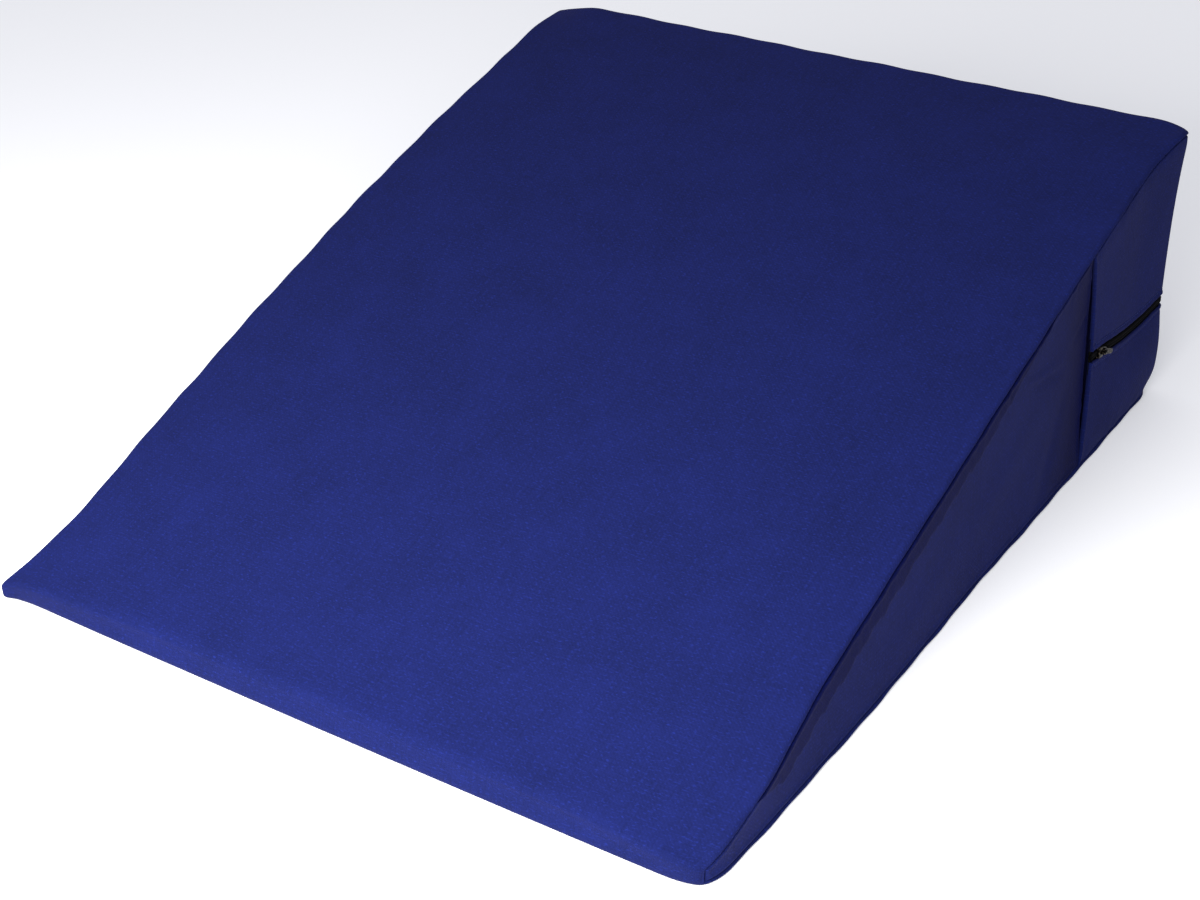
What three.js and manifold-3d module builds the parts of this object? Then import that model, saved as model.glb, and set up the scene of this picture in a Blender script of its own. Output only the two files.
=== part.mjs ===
// A wedge pillow: a foam wedge in a cover of plain cotton cloth, lying on its flat underside.
// One length of cloth runs over the slope, round the thin nose and under the base. Tapered panels
// close the sides, and a band of two strips, with a zip between them, closes the back and turns
// both back corners. Millimetres. +X runs across the pillow, +Y from the nose to the tall back and
// +Z up. The origin is the middle of the footprint, on the surface that the pillow lies on.

import * as THREE from "three";
import { mergeVertices } from "three/addons/utils/BufferGeometryUtils.js";
import Module from "manifold-3d";

const wasm = await Module();
wasm.setup();

// The wedge between its seams
const WIDTH = 510;
const DEPTH = 614;
const BACK_HEIGHT = 204;
const NOSE_HEIGHT = 16;
const EDGE_RADIUS = 5;

// How the soft wedge departs from a straight one
const SLOPE_RISE = 4.5; // the slope stands above the line from nose to back, most at two thirds
const SLOPE_CROWN = 1.5; // and its middle stands above its side seams
const SIDE_DRAW = 3.5; // the sides draw in between their seams
const BACK_DRAW = 3;
const NOSE_BULGE = 1.2; // the thin nose rounds out in the middle
const LOW_BULGE = 2.5; // and so do the sides near the floor, over the front half
const LOW_BULGE_END = 0.5; // as a share of the depth

// The tall corners round down. The right one stands out sideways and the left one draws in.
const TALL_LEFT = { droop: 8, reach: 45, ear: -8.5, earReach: 260 };
const TALL_RIGHT = { droop: 4.7, reach: 26, ear: 6.2, earReach: 60 };

// The nose's corners round down too. The right one draws in and the left one pokes out. Behind
// them the side seams draw in, most at a share of the depth, and the right one then flares out.
const NOSE_LEFT = { droop: 6, reach: 26, draw: -2.8, seamDraw: 8.4, seamDrawAt: 0.085, flare: 0 };
const NOSE_RIGHT = { droop: 4.2, reach: 26, draw: 5.5, seamDraw: 2, seamDrawAt: 0.19, flare: 3.8 };
const FLARE_AT = 59; // from the front
const FLARE_REACH = 43;
const LOW_PINCH = 5; // the bottom back corners draw in
const LOW_PINCH_REACH = 24;

const SEAM_DENT = 1.5; // the upright seams lie in a shallow dip
const SEAM_DENT_REACH = 30;
const SEAM_BOW = 14; // and bow back towards the zip's ends
const SEAM_LEAN = 10; // and lean forward towards the slope
const DRAW_REACH = 60; // from an edge to where its face is fully drawn in

// The cover's cloth. A lift is a height above the wedge's surface, negative below it.
const GAP = 0.3;
const BAND_WRAP = 132; // how far the zip band turns onto each side
const SEAM_INSET = 3; // from a sharp edge of the wedge to the seam beside it
const SEAM_RIDGE = 1.2; // the turned seam stands up along the edges
const RECESS_LIFT = -2.4;
const PANEL_LIFT = { inner: -2.1, outer: -0.6 };
const STRIP_LIFT = { inner: -2.1, overTape: -0.8, outer: 0.6, fold: 1.3, foldEdge: 0.3 };

// The zip
const ZIP_HEIGHT = 79; // its middle, above the floor
const ZIP_OPENING = 8; // between the strips' folded edges
const ZIP_SAG = { depth: 9.5, at: 86, alongReach: 50, upReach: 40, inReach: 60 }; // on the right side
const TAPE_REACH = 13; // from the zip's middle to a tape's outer edge
const TAPE_SPLIT = 0.8; // between the two tapes, under the coil
const TAPE_LIFT = { inner: -2.1, outer: -1.1 };
const COIL_WIDTH = 4.8;
const COIL_LIFT = { inner: -0.8, side: -0.2, crest: 0.6, groove: 0.2 };

// The slider and its pull, parked at the right hand end of the zip
const SLIDER = { start: 9, length: 10, shoulder: 5, width: 7.4, noseWidth: 5, flange: 1 };
const SLIDER_LIFT = { flange: -0.7, underside: 0.9, top: 2.1 };
const BRIDGE = { start: 2.2, length: 6, width: 1.8, height: 2.6, thickness: 0.9, corner: 1, root: 0.4 };
const PULL = { length: 16, width: 4.4, tipWidth: 3.6, thickness: 1, eye: 1.25, tilt: -14 };

const HALF_WIDTH = WIDTH / 2;
const HALF_DEPTH = DEPTH / 2;
const SEAM_Y = HALF_DEPTH - BAND_WRAP;
const BAND_LENGTH = 2 * BAND_WRAP + WIDTH;

const { clamp, lerp, smoothstep, degToRad } = THREE.MathUtils;

const slopeHeight = (y) => lerp(NOSE_HEIGHT, BACK_HEIGHT, (y + HALF_DEPTH) / DEPTH);

// Takes a point on the sharp wedge's surface onto the rounded one, and lift millimetres off it.
function skin(sharp, lift) {
  const core = new THREE.Vector3(
    clamp(sharp.x, EDGE_RADIUS - HALF_WIDTH, HALF_WIDTH - EDGE_RADIUS),
    clamp(sharp.y, EDGE_RADIUS - HALF_DEPTH, HALF_DEPTH - EDGE_RADIUS),
    0,
  );
  core.z = clamp(sharp.z, EDGE_RADIUS, slopeHeight(core.y) - EDGE_RADIUS);
  const outward = sharp.clone().sub(core).normalize();
  return core.addScaledVector(outward, EDGE_RADIUS + lift);
}

// 1 at an edge, easing to 0 at the given reach from it.
const nearness = (distance, reach) => 1 - smoothstep(distance, 0, reach);

// The same, but falling away at once, as round a corner.
const pointed = (distance, reach) => Math.max(0, 1 - distance / reach) ** 2;

// 0 at both ends of a span and 1 in its middle.
const bulge = (part) => 1 - (2 * clamp(part, 0, 1) - 1) ** 2;

// 0 at both ends of a span, and 1 two thirds of the way along it.
const lateBulge = (part) => 6.75 * part ** 2 * (1 - part);

// 0 at the start, 1 at the peak, and falling away slowly after it.
const earlyPeak = (part, peak) => (part / peak) * Math.exp(1 - part / peak);

// The soft form: where filling, seams and zip move a point of the straight wedge.
function settle(point) {
  const across = clamp(point.x / HALF_WIDTH, -1, 1);
  const along = clamp((point.y + HALF_DEPTH) / DEPTH, 0, 1);
  const height = slopeHeight(point.y);
  const up = clamp(point.z / height, 0, 1);
  const outwards = Math.sign(point.x);
  const fromSide = Math.max(0, HALF_WIDTH - Math.abs(point.x));
  const fromBack = Math.max(0, HALF_DEPTH - point.y);
  const fromFront = Math.max(0, HALF_DEPTH + point.y);
  const atSide = nearness(fromSide, DRAW_REACH);
  const tallCorner = outwards > 0 ? TALL_RIGHT : TALL_LEFT;
  const noseCorner = outwards > 0 ? NOSE_RIGHT : NOSE_LEFT;

  const rise = SLOPE_RISE * lateBulge(along) + SLOPE_CROWN * (1 - across ** 2) * bulge(along);
  const toTallCorner = Math.hypot(fromSide, fromBack);
  const tallDroop = tallCorner.droop * pointed(toTallCorner, tallCorner.reach);
  const lowPinch = LOW_PINCH * pointed(Math.hypot(toTallCorner, point.z), LOW_PINCH_REACH);
  const pinch = pointed(Math.hypot(fromSide, fromFront), noseCorner.reach);

  const ear = tallCorner.ear * nearness(fromBack, tallCorner.earReach) * up ** 4;
  const flare = noseCorner.flare * Math.exp(-(((fromFront - FLARE_AT) / FLARE_REACH) ** 2));
  const seamDraw = (noseCorner.seamDraw * earlyPeak(along, noseCorner.seamDrawAt) - flare) * up;
  const lowBulge = LOW_BULGE * bulge(along / LOW_BULGE_END) * (1 - up);
  const faceDraw = SIDE_DRAW * bulge(up) * (height / BACK_HEIGHT) * (1 - nearness(fromBack, DRAW_REACH));
  const dent = SEAM_DENT * Math.exp(-(((point.y - SEAM_Y) / SEAM_DENT_REACH) ** 2)) * bulge(up);
  const sideShift = atSide * (ear + lowBulge - seamDraw - faceDraw - dent) - noseCorner.draw * pinch - lowPinch;
  const backDraw = BACK_DRAW * bulge(up) * (1 - atSide) * nearness(fromBack, DRAW_REACH) + lowPinch;
  const noseBulge = NOSE_BULGE * (1 - across ** 2) * nearness(fromFront, DRAW_REACH);

  const fromRight = HALF_WIDTH - point.x;
  const sagAlong = (point.y - SEAM_Y - ZIP_SAG.at) / ZIP_SAG.alongReach;
  const sagUp = (point.z - ZIP_HEIGHT) / ZIP_SAG.upReach;
  const zipSag = ZIP_SAG.depth * Math.exp(-(sagAlong ** 2) - sagUp ** 2 - (fromRight / ZIP_SAG.inReach) ** 2);

  return new THREE.Vector3(
    point.x + outwards * sideShift,
    point.y - backDraw - noseBulge + noseCorner.draw * pinch,
    point.z + up * (rise - tallDroop - noseCorner.droop * pinch) - zipSag,
  );
}

// Stations along a span: close together round its rounded ends and over its soft corners, and
// even between them.
const CORNER_STATIONS = [0, 0.45 * EDGE_RADIUS, EDGE_RADIUS, 14, 26, 42];

function stations(start, end, evenSteps) {
  const inset = CORNER_STATIONS.at(-1);
  const even = Array.from({ length: evenSteps - 1 }, (_, i) => lerp(start + inset, end - inset, (i + 1) / evenSteps));
  return [...CORNER_STATIONS.map((t) => start + t), ...even, ...CORNER_STATIONS.map((t) => end - t).reverse()];
}

// The same for a height, with stations only round the edges.
function heights(top, evenSteps) {
  const turn = [0, 0.45 * EDGE_RADIUS];
  const even = Array.from({ length: evenSteps + 1 }, (_, i) => lerp(EDGE_RADIUS, top - EDGE_RADIUS, i / evenSteps));
  return [...turn, ...even, ...turn.map((t) => top - t).reverse()];
}

// A closed solid from a box of columns, rows and layers, each corner put in its place.
function moulded(columns, rows, layers, place) {
  const box = new THREE.BoxGeometry(1, 1, 1, columns, rows, layers);
  box.deleteAttribute("normal");
  box.deleteAttribute("uv");
  const geometry = mergeVertices(box);
  const position = geometry.getAttribute("position");
  for (let n = 0; n < position.count; n += 1) {
    const column = Math.round((position.getX(n) + 0.5) * columns);
    const row = Math.round((position.getY(n) + 0.5) * rows);
    const layer = Math.round((position.getZ(n) + 0.5) * layers);
    const point = place(column, row, layer);
    position.setXYZ(n, point.x, point.y, point.z);
  }
  return geometry;
}

function toSolid(geometry) {
  const bare = geometry.index ? geometry.toNonIndexed() : geometry.clone();
  bare.deleteAttribute("normal");
  bare.deleteAttribute("uv");
  const merged = mergeVertices(bare);
  const mesh = new wasm.Mesh({
    numProp: 3,
    vertProperties: merged.getAttribute("position").array,
    triVerts: new Uint32Array(merged.index.array),
  });
  return new wasm.Manifold(mesh);
}

function toGeometry(solid) {
  const mesh = solid.getMesh();
  const geometry = new THREE.BufferGeometry();
  geometry.setAttribute("position", new THREE.BufferAttribute(mesh.vertProperties, 3));
  geometry.setIndex(new THREE.BufferAttribute(mesh.triVerts, 1));
  geometry.computeVertexNormals();
  return geometry;
}

// How far back the upright seam lies at a height.
function seamBow(z) {
  const up = Math.min(1, z / slopeHeight(SEAM_Y));
  return SEAM_BOW * bulge(up) - SEAM_LEAN * up ** 3;
}

const seamTop = (y) => slopeHeight(y) - SEAM_INSET;

// The height of the slope's seam at a place that the upright seam's bow has yet to move.
const sewnTop = (y) => seamTop(y + seamBow(seamTop(y)) * nearness(Math.abs(y - SEAM_Y), BAND_WRAP));

// How far back that bow moves a point of a side's cloth, or of the recess that is cut round it.
const bowAt = (y, z) => seamBow(Math.min(z, sewnTop(y))) * nearness(Math.abs(y - SEAM_Y), BAND_WRAP);

// The back band's line on the sharp wedge: back along the right side, across the back and
// forward along the left side. The run starts at the right hand upright seam.
function bandPoint(run, z) {
  const intoSide = Math.max(0, Math.min(run, BAND_LENGTH - run));
  if (intoSide >= BAND_WRAP) return new THREE.Vector3(HALF_WIDTH + BAND_WRAP - run, HALF_DEPTH, z);
  const side = run < BAND_WRAP ? 1 : -1;
  const y = SEAM_Y + Math.min(run, BAND_LENGTH - run);
  return new THREE.Vector3(side * HALF_WIDTH, y + bowAt(y, z), z);
}

const onBand = (run, z, lift) => settle(skin(bandPoint(run, z), lift));

// The band's columns: along each side part, and round both corners across the back.
const BACK_STEPS = 11;
const SIDE_RUNS = [0, 11, 22, 33, 44, 55, 66, ...CORNER_STATIONS.slice(1).map((t) => BAND_WRAP - t).reverse()];
const BAND_RUNS = [
  ...SIDE_RUNS,
  ...stations(BAND_WRAP, BAND_WRAP + WIDTH, BACK_STEPS),
  ...SIDE_RUNS.map((run) => BAND_LENGTH - run).reverse(),
];

// A sheet of the back band. Each row is a height, given as a function of the depth position, with
// its inner and outer lifts. Growth widens the sheet at both ends.
function bandSheet(rows, growth = 0) {
  const lastColumn = BAND_RUNS.length - 1;
  return moulded(lastColumn, rows.length - 1, 1, (column, row, layer) => {
    let run = BAND_RUNS[column];
    if (column === 0) run = GAP / 2 - growth;
    if (column === lastColumn) run = BAND_LENGTH - GAP / 2 + growth;
    const { y } = bandPoint(run, 0);
    return onBand(run, rows[row].z(y), layer === 0 ? rows[row].inner : rows[row].outer);
  });
}

const level = (z, inner, outer) => ({ z: () => z, inner, outer });
const below = (drop, inner, outer) => ({ z: (y) => sewnTop(y) - drop, inner, outer });

// A row some share of the way from a fixed height up to the slope's seam.
const share = (from, part, inner, outer) => ({ z: (y) => lerp(from, sewnTop(y), part), inner, outer });

const FOLD_TOP = ZIP_HEIGHT + ZIP_OPENING / 2;
const FOLD_BOTTOM = ZIP_HEIGHT - ZIP_OPENING / 2;
const FOLD_WIDTH = 1.5;
const TAPE_MARGIN = 0.5; // from the tape's edge to where the strip over it steps down
const STEP_TOP = ZIP_HEIGHT + TAPE_REACH + TAPE_MARGIN;
const STEP_BOTTOM = ZIP_HEIGHT - TAPE_REACH - TAPE_MARGIN;
const STEP_WIDTH = 1.5;

const { inner, overTape, outer, fold, foldEdge } = STRIP_LIFT;

const UPPER_ROWS = [
  level(FOLD_TOP, overTape, foldEdge),
  level(FOLD_TOP + FOLD_WIDTH, overTape, fold),
  level(STEP_TOP, overTape, outer),
  level(STEP_TOP + STEP_WIDTH, inner, outer),
  share(STEP_TOP + STEP_WIDTH, 0.3, inner, outer),
  share(STEP_TOP + STEP_WIDTH, 0.55, inner, outer),
  share(STEP_TOP + STEP_WIDTH, 0.78, inner, outer),
  below(0, inner, outer),
];

const LOWER_ROWS = [
  level(SEAM_INSET, inner, outer),
  level(STEP_BOTTOM * 0.35, inner, outer),
  level(STEP_BOTTOM * 0.7, inner, outer),
  level(STEP_BOTTOM - STEP_WIDTH, inner, outer),
  level(STEP_BOTTOM, overTape, outer),
  level(FOLD_BOTTOM - FOLD_WIDTH, overTape, fold),
  level(FOLD_BOTTOM, overTape, foldEdge),
];

function tape(from, to) {
  return bandSheet([level(from, TAPE_LIFT.inner, TAPE_LIFT.outer), level(to, TAPE_LIFT.inner, TAPE_LIFT.outer)]);
}

// The closed coil: two low ridges with a groove along the middle.
function coil() {
  const half = COIL_WIDTH / 2;
  return bandSheet([
    level(ZIP_HEIGHT - half, COIL_LIFT.inner, COIL_LIFT.side),
    level(ZIP_HEIGHT - half / 2, COIL_LIFT.inner, COIL_LIFT.crest),
    level(ZIP_HEIGHT, COIL_LIFT.inner, COIL_LIFT.groove),
    level(ZIP_HEIGHT + half / 2, COIL_LIFT.inner, COIL_LIFT.crest),
    level(ZIP_HEIGHT + half, COIL_LIFT.inner, COIL_LIFT.side),
  ]);
}

// The tapered side panel, as rows from the base seam up to the slope's seam. The right one runs
// back from the nose and the left one runs forward to it, so both face outwards.
const PANEL_ROWS = 5;
const PANEL_STEPS = 16;
const PANEL_START = [SEAM_INSET - HALF_DEPTH, ...CORNER_STATIONS.slice(2).map((t) => t - HALF_DEPTH)];
const PANEL_YS = [
  ...PANEL_START,
  ...Array.from({ length: PANEL_STEPS }, (_, i) => lerp(PANEL_START.at(-1), SEAM_Y - GAP / 2, (i + 1) / PANEL_STEPS)),
];

function panelSheet(side, lifts, growth = 0) {
  const ys = [...PANEL_YS];
  ys[0] -= growth;
  ys[ys.length - 1] += growth;
  if (side < 0) ys.reverse();
  return moulded(ys.length - 1, PANEL_ROWS, 1, (column, row, layer) => {
    const y = ys[column];
    const z = lerp(SEAM_INSET - growth, sewnTop(y) + growth, row / PANEL_ROWS);
    const sharp = new THREE.Vector3(side * HALF_WIDTH, y + bowAt(y, z), z);
    return settle(skin(sharp, layer === 0 ? lifts.inner : lifts.outer));
  });
}

// The recesses that the panels and the band lie in, cut a gap wider than the cloth all round.
const CUT = { inner: RECESS_LIFT, outer: 4 }; // reaching outside the wedge and its ridge

function recesses() {
  const inside = [...LOWER_ROWS.slice(1), level(ZIP_HEIGHT), ...UPPER_ROWS.slice(0, -1)];
  const band = [level(SEAM_INSET - GAP), ...inside, below(-GAP)].map((row) => ({ z: row.z, ...CUT }));
  return [panelSheet(1, CUT, GAP), panelSheet(-1, CUT, GAP), bandSheet(band, GAP)];
}

// The filled wedge, with the ridge of the turned seam round its sides and back.
function filledWedge() {
  const xs = stations(-HALF_WIDTH, HALF_WIDTH, 11);
  const ys = stations(-HALF_DEPTH, HALF_DEPTH, 17);
  const heightSteps = 7;
  const layers = heights(BACK_HEIGHT, heightSteps).length - 1;
  const whole = moulded(xs.length - 1, ys.length - 1, layers, (column, row, layer) => {
    const x = xs[column];
    const y = ys[row];
    const sewn = Math.abs(x) === HALF_WIDTH || y === HALF_DEPTH;
    const sharp = new THREE.Vector3(x, y, heights(slopeHeight(y), heightSteps)[layer]);
    return settle(skin(sharp, sewn ? SEAM_RIDGE : 0));
  });
  const cut = recesses().reduce((solid, recess) => solid.subtract(toSolid(recess)), toSolid(whole));
  return toGeometry(cut);
}

// Takes a shape drawn on the flat zip, as run, height and lift, onto the band.
function laidOnBand(geometry) {
  const position = geometry.getAttribute("position");
  for (let n = 0; n < position.count; n += 1) {
    const point = onBand(position.getX(n), position.getY(n), position.getZ(n));
    position.setXYZ(n, point.x, point.y, point.z);
  }
  geometry.computeVertexNormals();
  return geometry;
}

// The slider: a plate that narrows towards the closed end, with a flange down each side of the
// coil and a bridge on top for the pull.
function slider() {
  const half = SLIDER.width / 2;
  const noseHalf = SLIDER.noseWidth / 2;
  const outline = new THREE.Shape();
  outline.moveTo(0, -half);
  outline.lineTo(SLIDER.shoulder, -half);
  outline.lineTo(SLIDER.length, -noseHalf);
  outline.absarc(SLIDER.length, 0, noseHalf, -Math.PI / 2, Math.PI / 2, false);
  outline.lineTo(SLIDER.shoulder, half);
  outline.lineTo(0, half);
  const plateDepth = SLIDER_LIFT.top - SLIDER_LIFT.underside;
  const plate = new THREE.ExtrudeGeometry(outline, { depth: plateDepth, bevelEnabled: false, curveSegments: 6 });
  plate.translate(0, 0, SLIDER_LIFT.underside);

  const flangeHeight = SLIDER_LIFT.top - SLIDER_LIFT.flange;
  const flanges = [-1, 1].map((edge) => {
    const flange = new THREE.BoxGeometry(SLIDER.shoulder, SLIDER.flange, flangeHeight);
    const middle = edge * (half - SLIDER.flange / 2);
    return flange.translate(SLIDER.shoulder / 2, middle, SLIDER_LIFT.flange + flangeHeight / 2);
  });

  const { start, length, width, height, thickness, corner, root } = BRIDGE;
  const arch = new THREE.Shape();
  arch.moveTo(0, -root);
  arch.lineTo(0, height - corner);
  arch.quadraticCurveTo(0, height, corner, height);
  arch.lineTo(length - corner, height);
  arch.quadraticCurveTo(length, height, length, height - corner);
  arch.lineTo(length, -root);
  arch.lineTo(length - thickness, -root);
  arch.lineTo(length - thickness, height - thickness);
  arch.lineTo(thickness, height - thickness);
  arch.lineTo(thickness, -root);
  const bridge = new THREE.ExtrudeGeometry(arch, { depth: width, bevelEnabled: false, curveSegments: 4 });
  bridge.rotateX(Math.PI / 2).translate(start, width / 2, SLIDER_LIFT.top);

  const solid = [...flanges, bridge].reduce((all, piece) => all.add(toSolid(piece)), toSolid(plate));
  return laidOnBand(toGeometry(solid).translate(SLIDER.start, ZIP_HEIGHT, 0));
}

// The pull: a flat tab with an eye round the bridge, lying back along the zip.
function pull() {
  const half = PULL.width / 2;
  const tipHalf = PULL.tipWidth / 2;
  const tipMiddle = PULL.length - half - tipHalf;
  const outline = new THREE.Shape();
  outline.absarc(0, 0, half, Math.PI / 2, (3 * Math.PI) / 2, false);
  outline.lineTo(tipMiddle, -tipHalf);
  outline.absarc(tipMiddle, 0, tipHalf, -Math.PI / 2, Math.PI / 2, false);
  const eye = new THREE.Path();
  eye.absarc(0, 0, PULL.eye, 0, 2 * Math.PI, true);
  outline.holes.push(eye);
  const tab = new THREE.ExtrudeGeometry(outline, { depth: PULL.thickness, bevelEnabled: false, curveSegments: 8 });
  const bridgeEnd = SLIDER.start + BRIDGE.start + BRIDGE.length - BRIDGE.thickness / 2;
  tab.rotateZ(degToRad(PULL.tilt)).translate(bridgeEnd, ZIP_HEIGHT, SLIDER_LIFT.top + GAP);
  return laidOnBand(toGeometry(toSolid(tab)));
}

const navyCotton = () => new THREE.MeshStandardMaterial({ color: 0x232a6b, roughness: 0.9, metalness: 0 });
const blackTape = () => new THREE.MeshStandardMaterial({ color: 0x14141a, roughness: 0.85, metalness: 0 });
const blackNylon = () => new THREE.MeshStandardMaterial({ color: 0x17171c, roughness: 0.45, metalness: 0 });
const blackenedZinc = () => new THREE.MeshStandardMaterial({ color: 0x3a3432, roughness: 0.4, metalness: 0.7 });

const pillow = new THREE.Group();

function addPiece(name, geometry, material) {
  const mesh = new THREE.Mesh(geometry, material);
  mesh.name = name;
  pillow.add(mesh);
}

addPiece("filled_wedge", filledWedge(), navyCotton());
addPiece("side_panel_right", panelSheet(1, PANEL_LIFT), navyCotton());
addPiece("side_panel_left", panelSheet(-1, PANEL_LIFT), navyCotton());
addPiece("zip_strip_upper", bandSheet(UPPER_ROWS), navyCotton());
addPiece("zip_strip_lower", bandSheet(LOWER_ROWS), navyCotton());
addPiece("zip_tape_upper", tape(ZIP_HEIGHT + TAPE_SPLIT / 2, ZIP_HEIGHT + TAPE_REACH), blackTape());
addPiece("zip_tape_lower", tape(ZIP_HEIGHT - TAPE_REACH, ZIP_HEIGHT - TAPE_SPLIT / 2), blackTape());
addPiece("zip_coil", coil(), blackNylon());
addPiece("zip_slider", slider(), blackenedZinc());
addPiece("zip_pull", pull(), blackenedZinc());

export default pillow;
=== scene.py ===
"""A wedge pillow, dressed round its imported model.

A foam wedge wears a zipped cover of navy plain weave cotton. One length of cloth runs over the
slope, round the thin nose and under the base. A tapered panel closes each side, and two strips
with a zip between them close the back and turn both back corners. Every piece is laid on one
soft wedge form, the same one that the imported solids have. All lengths are metres.
"""

import logging
import math
from collections.abc import Callable, Sequence
from dataclasses import dataclass, field
from enum import Enum

import bmesh
import bpy
import numpy as np
from mathutils import Matrix, Vector


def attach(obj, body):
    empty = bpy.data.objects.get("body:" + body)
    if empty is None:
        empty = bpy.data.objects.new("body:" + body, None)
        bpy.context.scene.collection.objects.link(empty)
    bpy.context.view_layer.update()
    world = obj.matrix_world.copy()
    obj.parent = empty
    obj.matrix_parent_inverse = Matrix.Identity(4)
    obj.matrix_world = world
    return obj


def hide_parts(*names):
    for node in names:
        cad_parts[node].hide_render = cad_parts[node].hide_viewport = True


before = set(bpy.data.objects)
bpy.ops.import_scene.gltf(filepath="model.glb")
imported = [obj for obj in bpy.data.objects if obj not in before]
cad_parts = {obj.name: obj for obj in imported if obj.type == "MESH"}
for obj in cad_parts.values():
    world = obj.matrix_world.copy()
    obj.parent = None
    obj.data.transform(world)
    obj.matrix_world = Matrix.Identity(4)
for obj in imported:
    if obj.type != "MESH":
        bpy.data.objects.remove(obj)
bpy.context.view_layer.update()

LOG = logging.getLogger("wedge_pillow")
MM = 0.001
BODY = "root"
CLOTH_MAP = "cloth"
# The point attribute that says where the side panels' cloth gets painted shade.
HEM_SHADE_MAP = "hem"
CUSHION = "cushion_cover"


class Side(Enum):
    """The two sides of the pillow, as seen from its nose, by the sign of their x."""

    RIGHT = 1
    LEFT = -1


class Slot(Enum):
    """The record's material slots."""

    COVER_CLOTH = "cover_cloth"
    ZIP_TAPE = "zip_tape"
    ZIP_COIL = "zip_coil"
    ZIP_METAL = "zip_metal"


def nearness(distance: np.ndarray, reach: float) -> np.ndarray:
    """Eases from 1 at an edge to 0 at the given reach from it."""
    part = np.clip(distance / reach, 0, 1)
    return 1 - part * part * (3 - 2 * part)


def pointed(distance: np.ndarray, reach: float) -> np.ndarray:
    """Falls from 1 to 0 at the given reach, at once, as round a corner."""
    return np.maximum(0, 1 - distance / reach) ** 2


def bulge(part: np.ndarray) -> np.ndarray:
    """Is 0 at both ends of a span and 1 in its middle."""
    return 1 - (2 * np.clip(part, 0, 1) - 1) ** 2


def late_bulge(part: np.ndarray) -> np.ndarray:
    """Is 0 at both ends of a span and 1 two thirds of the way along it."""
    return 6.75 * part**2 * (1 - part)


def early_peak(part: np.ndarray, peak: float) -> np.ndarray:
    """Rises from 0 to 1 at the peak and falls away slowly after it."""
    return part / peak * np.exp(1 - part / peak)


def blend(start: np.ndarray | float, end: np.ndarray | float, part: np.ndarray) -> np.ndarray:
    """Goes from start to end as part goes from 0 to 1."""
    return start + (end - start) * part


def crowded(start: float, end: float, steps: int, crowding: float = 0.8) -> np.ndarray:
    """Stations along a span, closer together near both ends.

    Args:
        start: Where the span starts.
        end: Where it ends.
        steps: How many steps it has.
        crowding: 0 for even steps, and up to 1 for steps that shrink to nothing at the ends.

    Returns:
        The stations, one more than the steps.
    """
    part = np.linspace(0, 1, steps + 1)
    return start + (end - start) * (part - crowding * np.sin(2 * math.pi * part) / (2 * math.pi))


@dataclass(frozen=True)
class TallCorner:
    """How a top back corner rounds down and stands out sideways."""

    droop: float
    reach: float
    ear: float
    ear_reach: float


@dataclass(frozen=True)
class NoseCorner:
    """How a corner of the nose rounds down and draws in, and what the side seam behind it does."""

    droop: float
    reach: float
    draw: float
    seam_draw: float
    seam_draw_at: float
    flare: float


@dataclass(frozen=True)
class ZipSag:
    """How the zip sags between the right hand upright seam and the back corner."""

    depth: float = 9.5 * MM
    at: float = 86 * MM
    along_reach: float = 50 * MM
    up_reach: float = 40 * MM
    in_reach: float = 60 * MM


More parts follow.
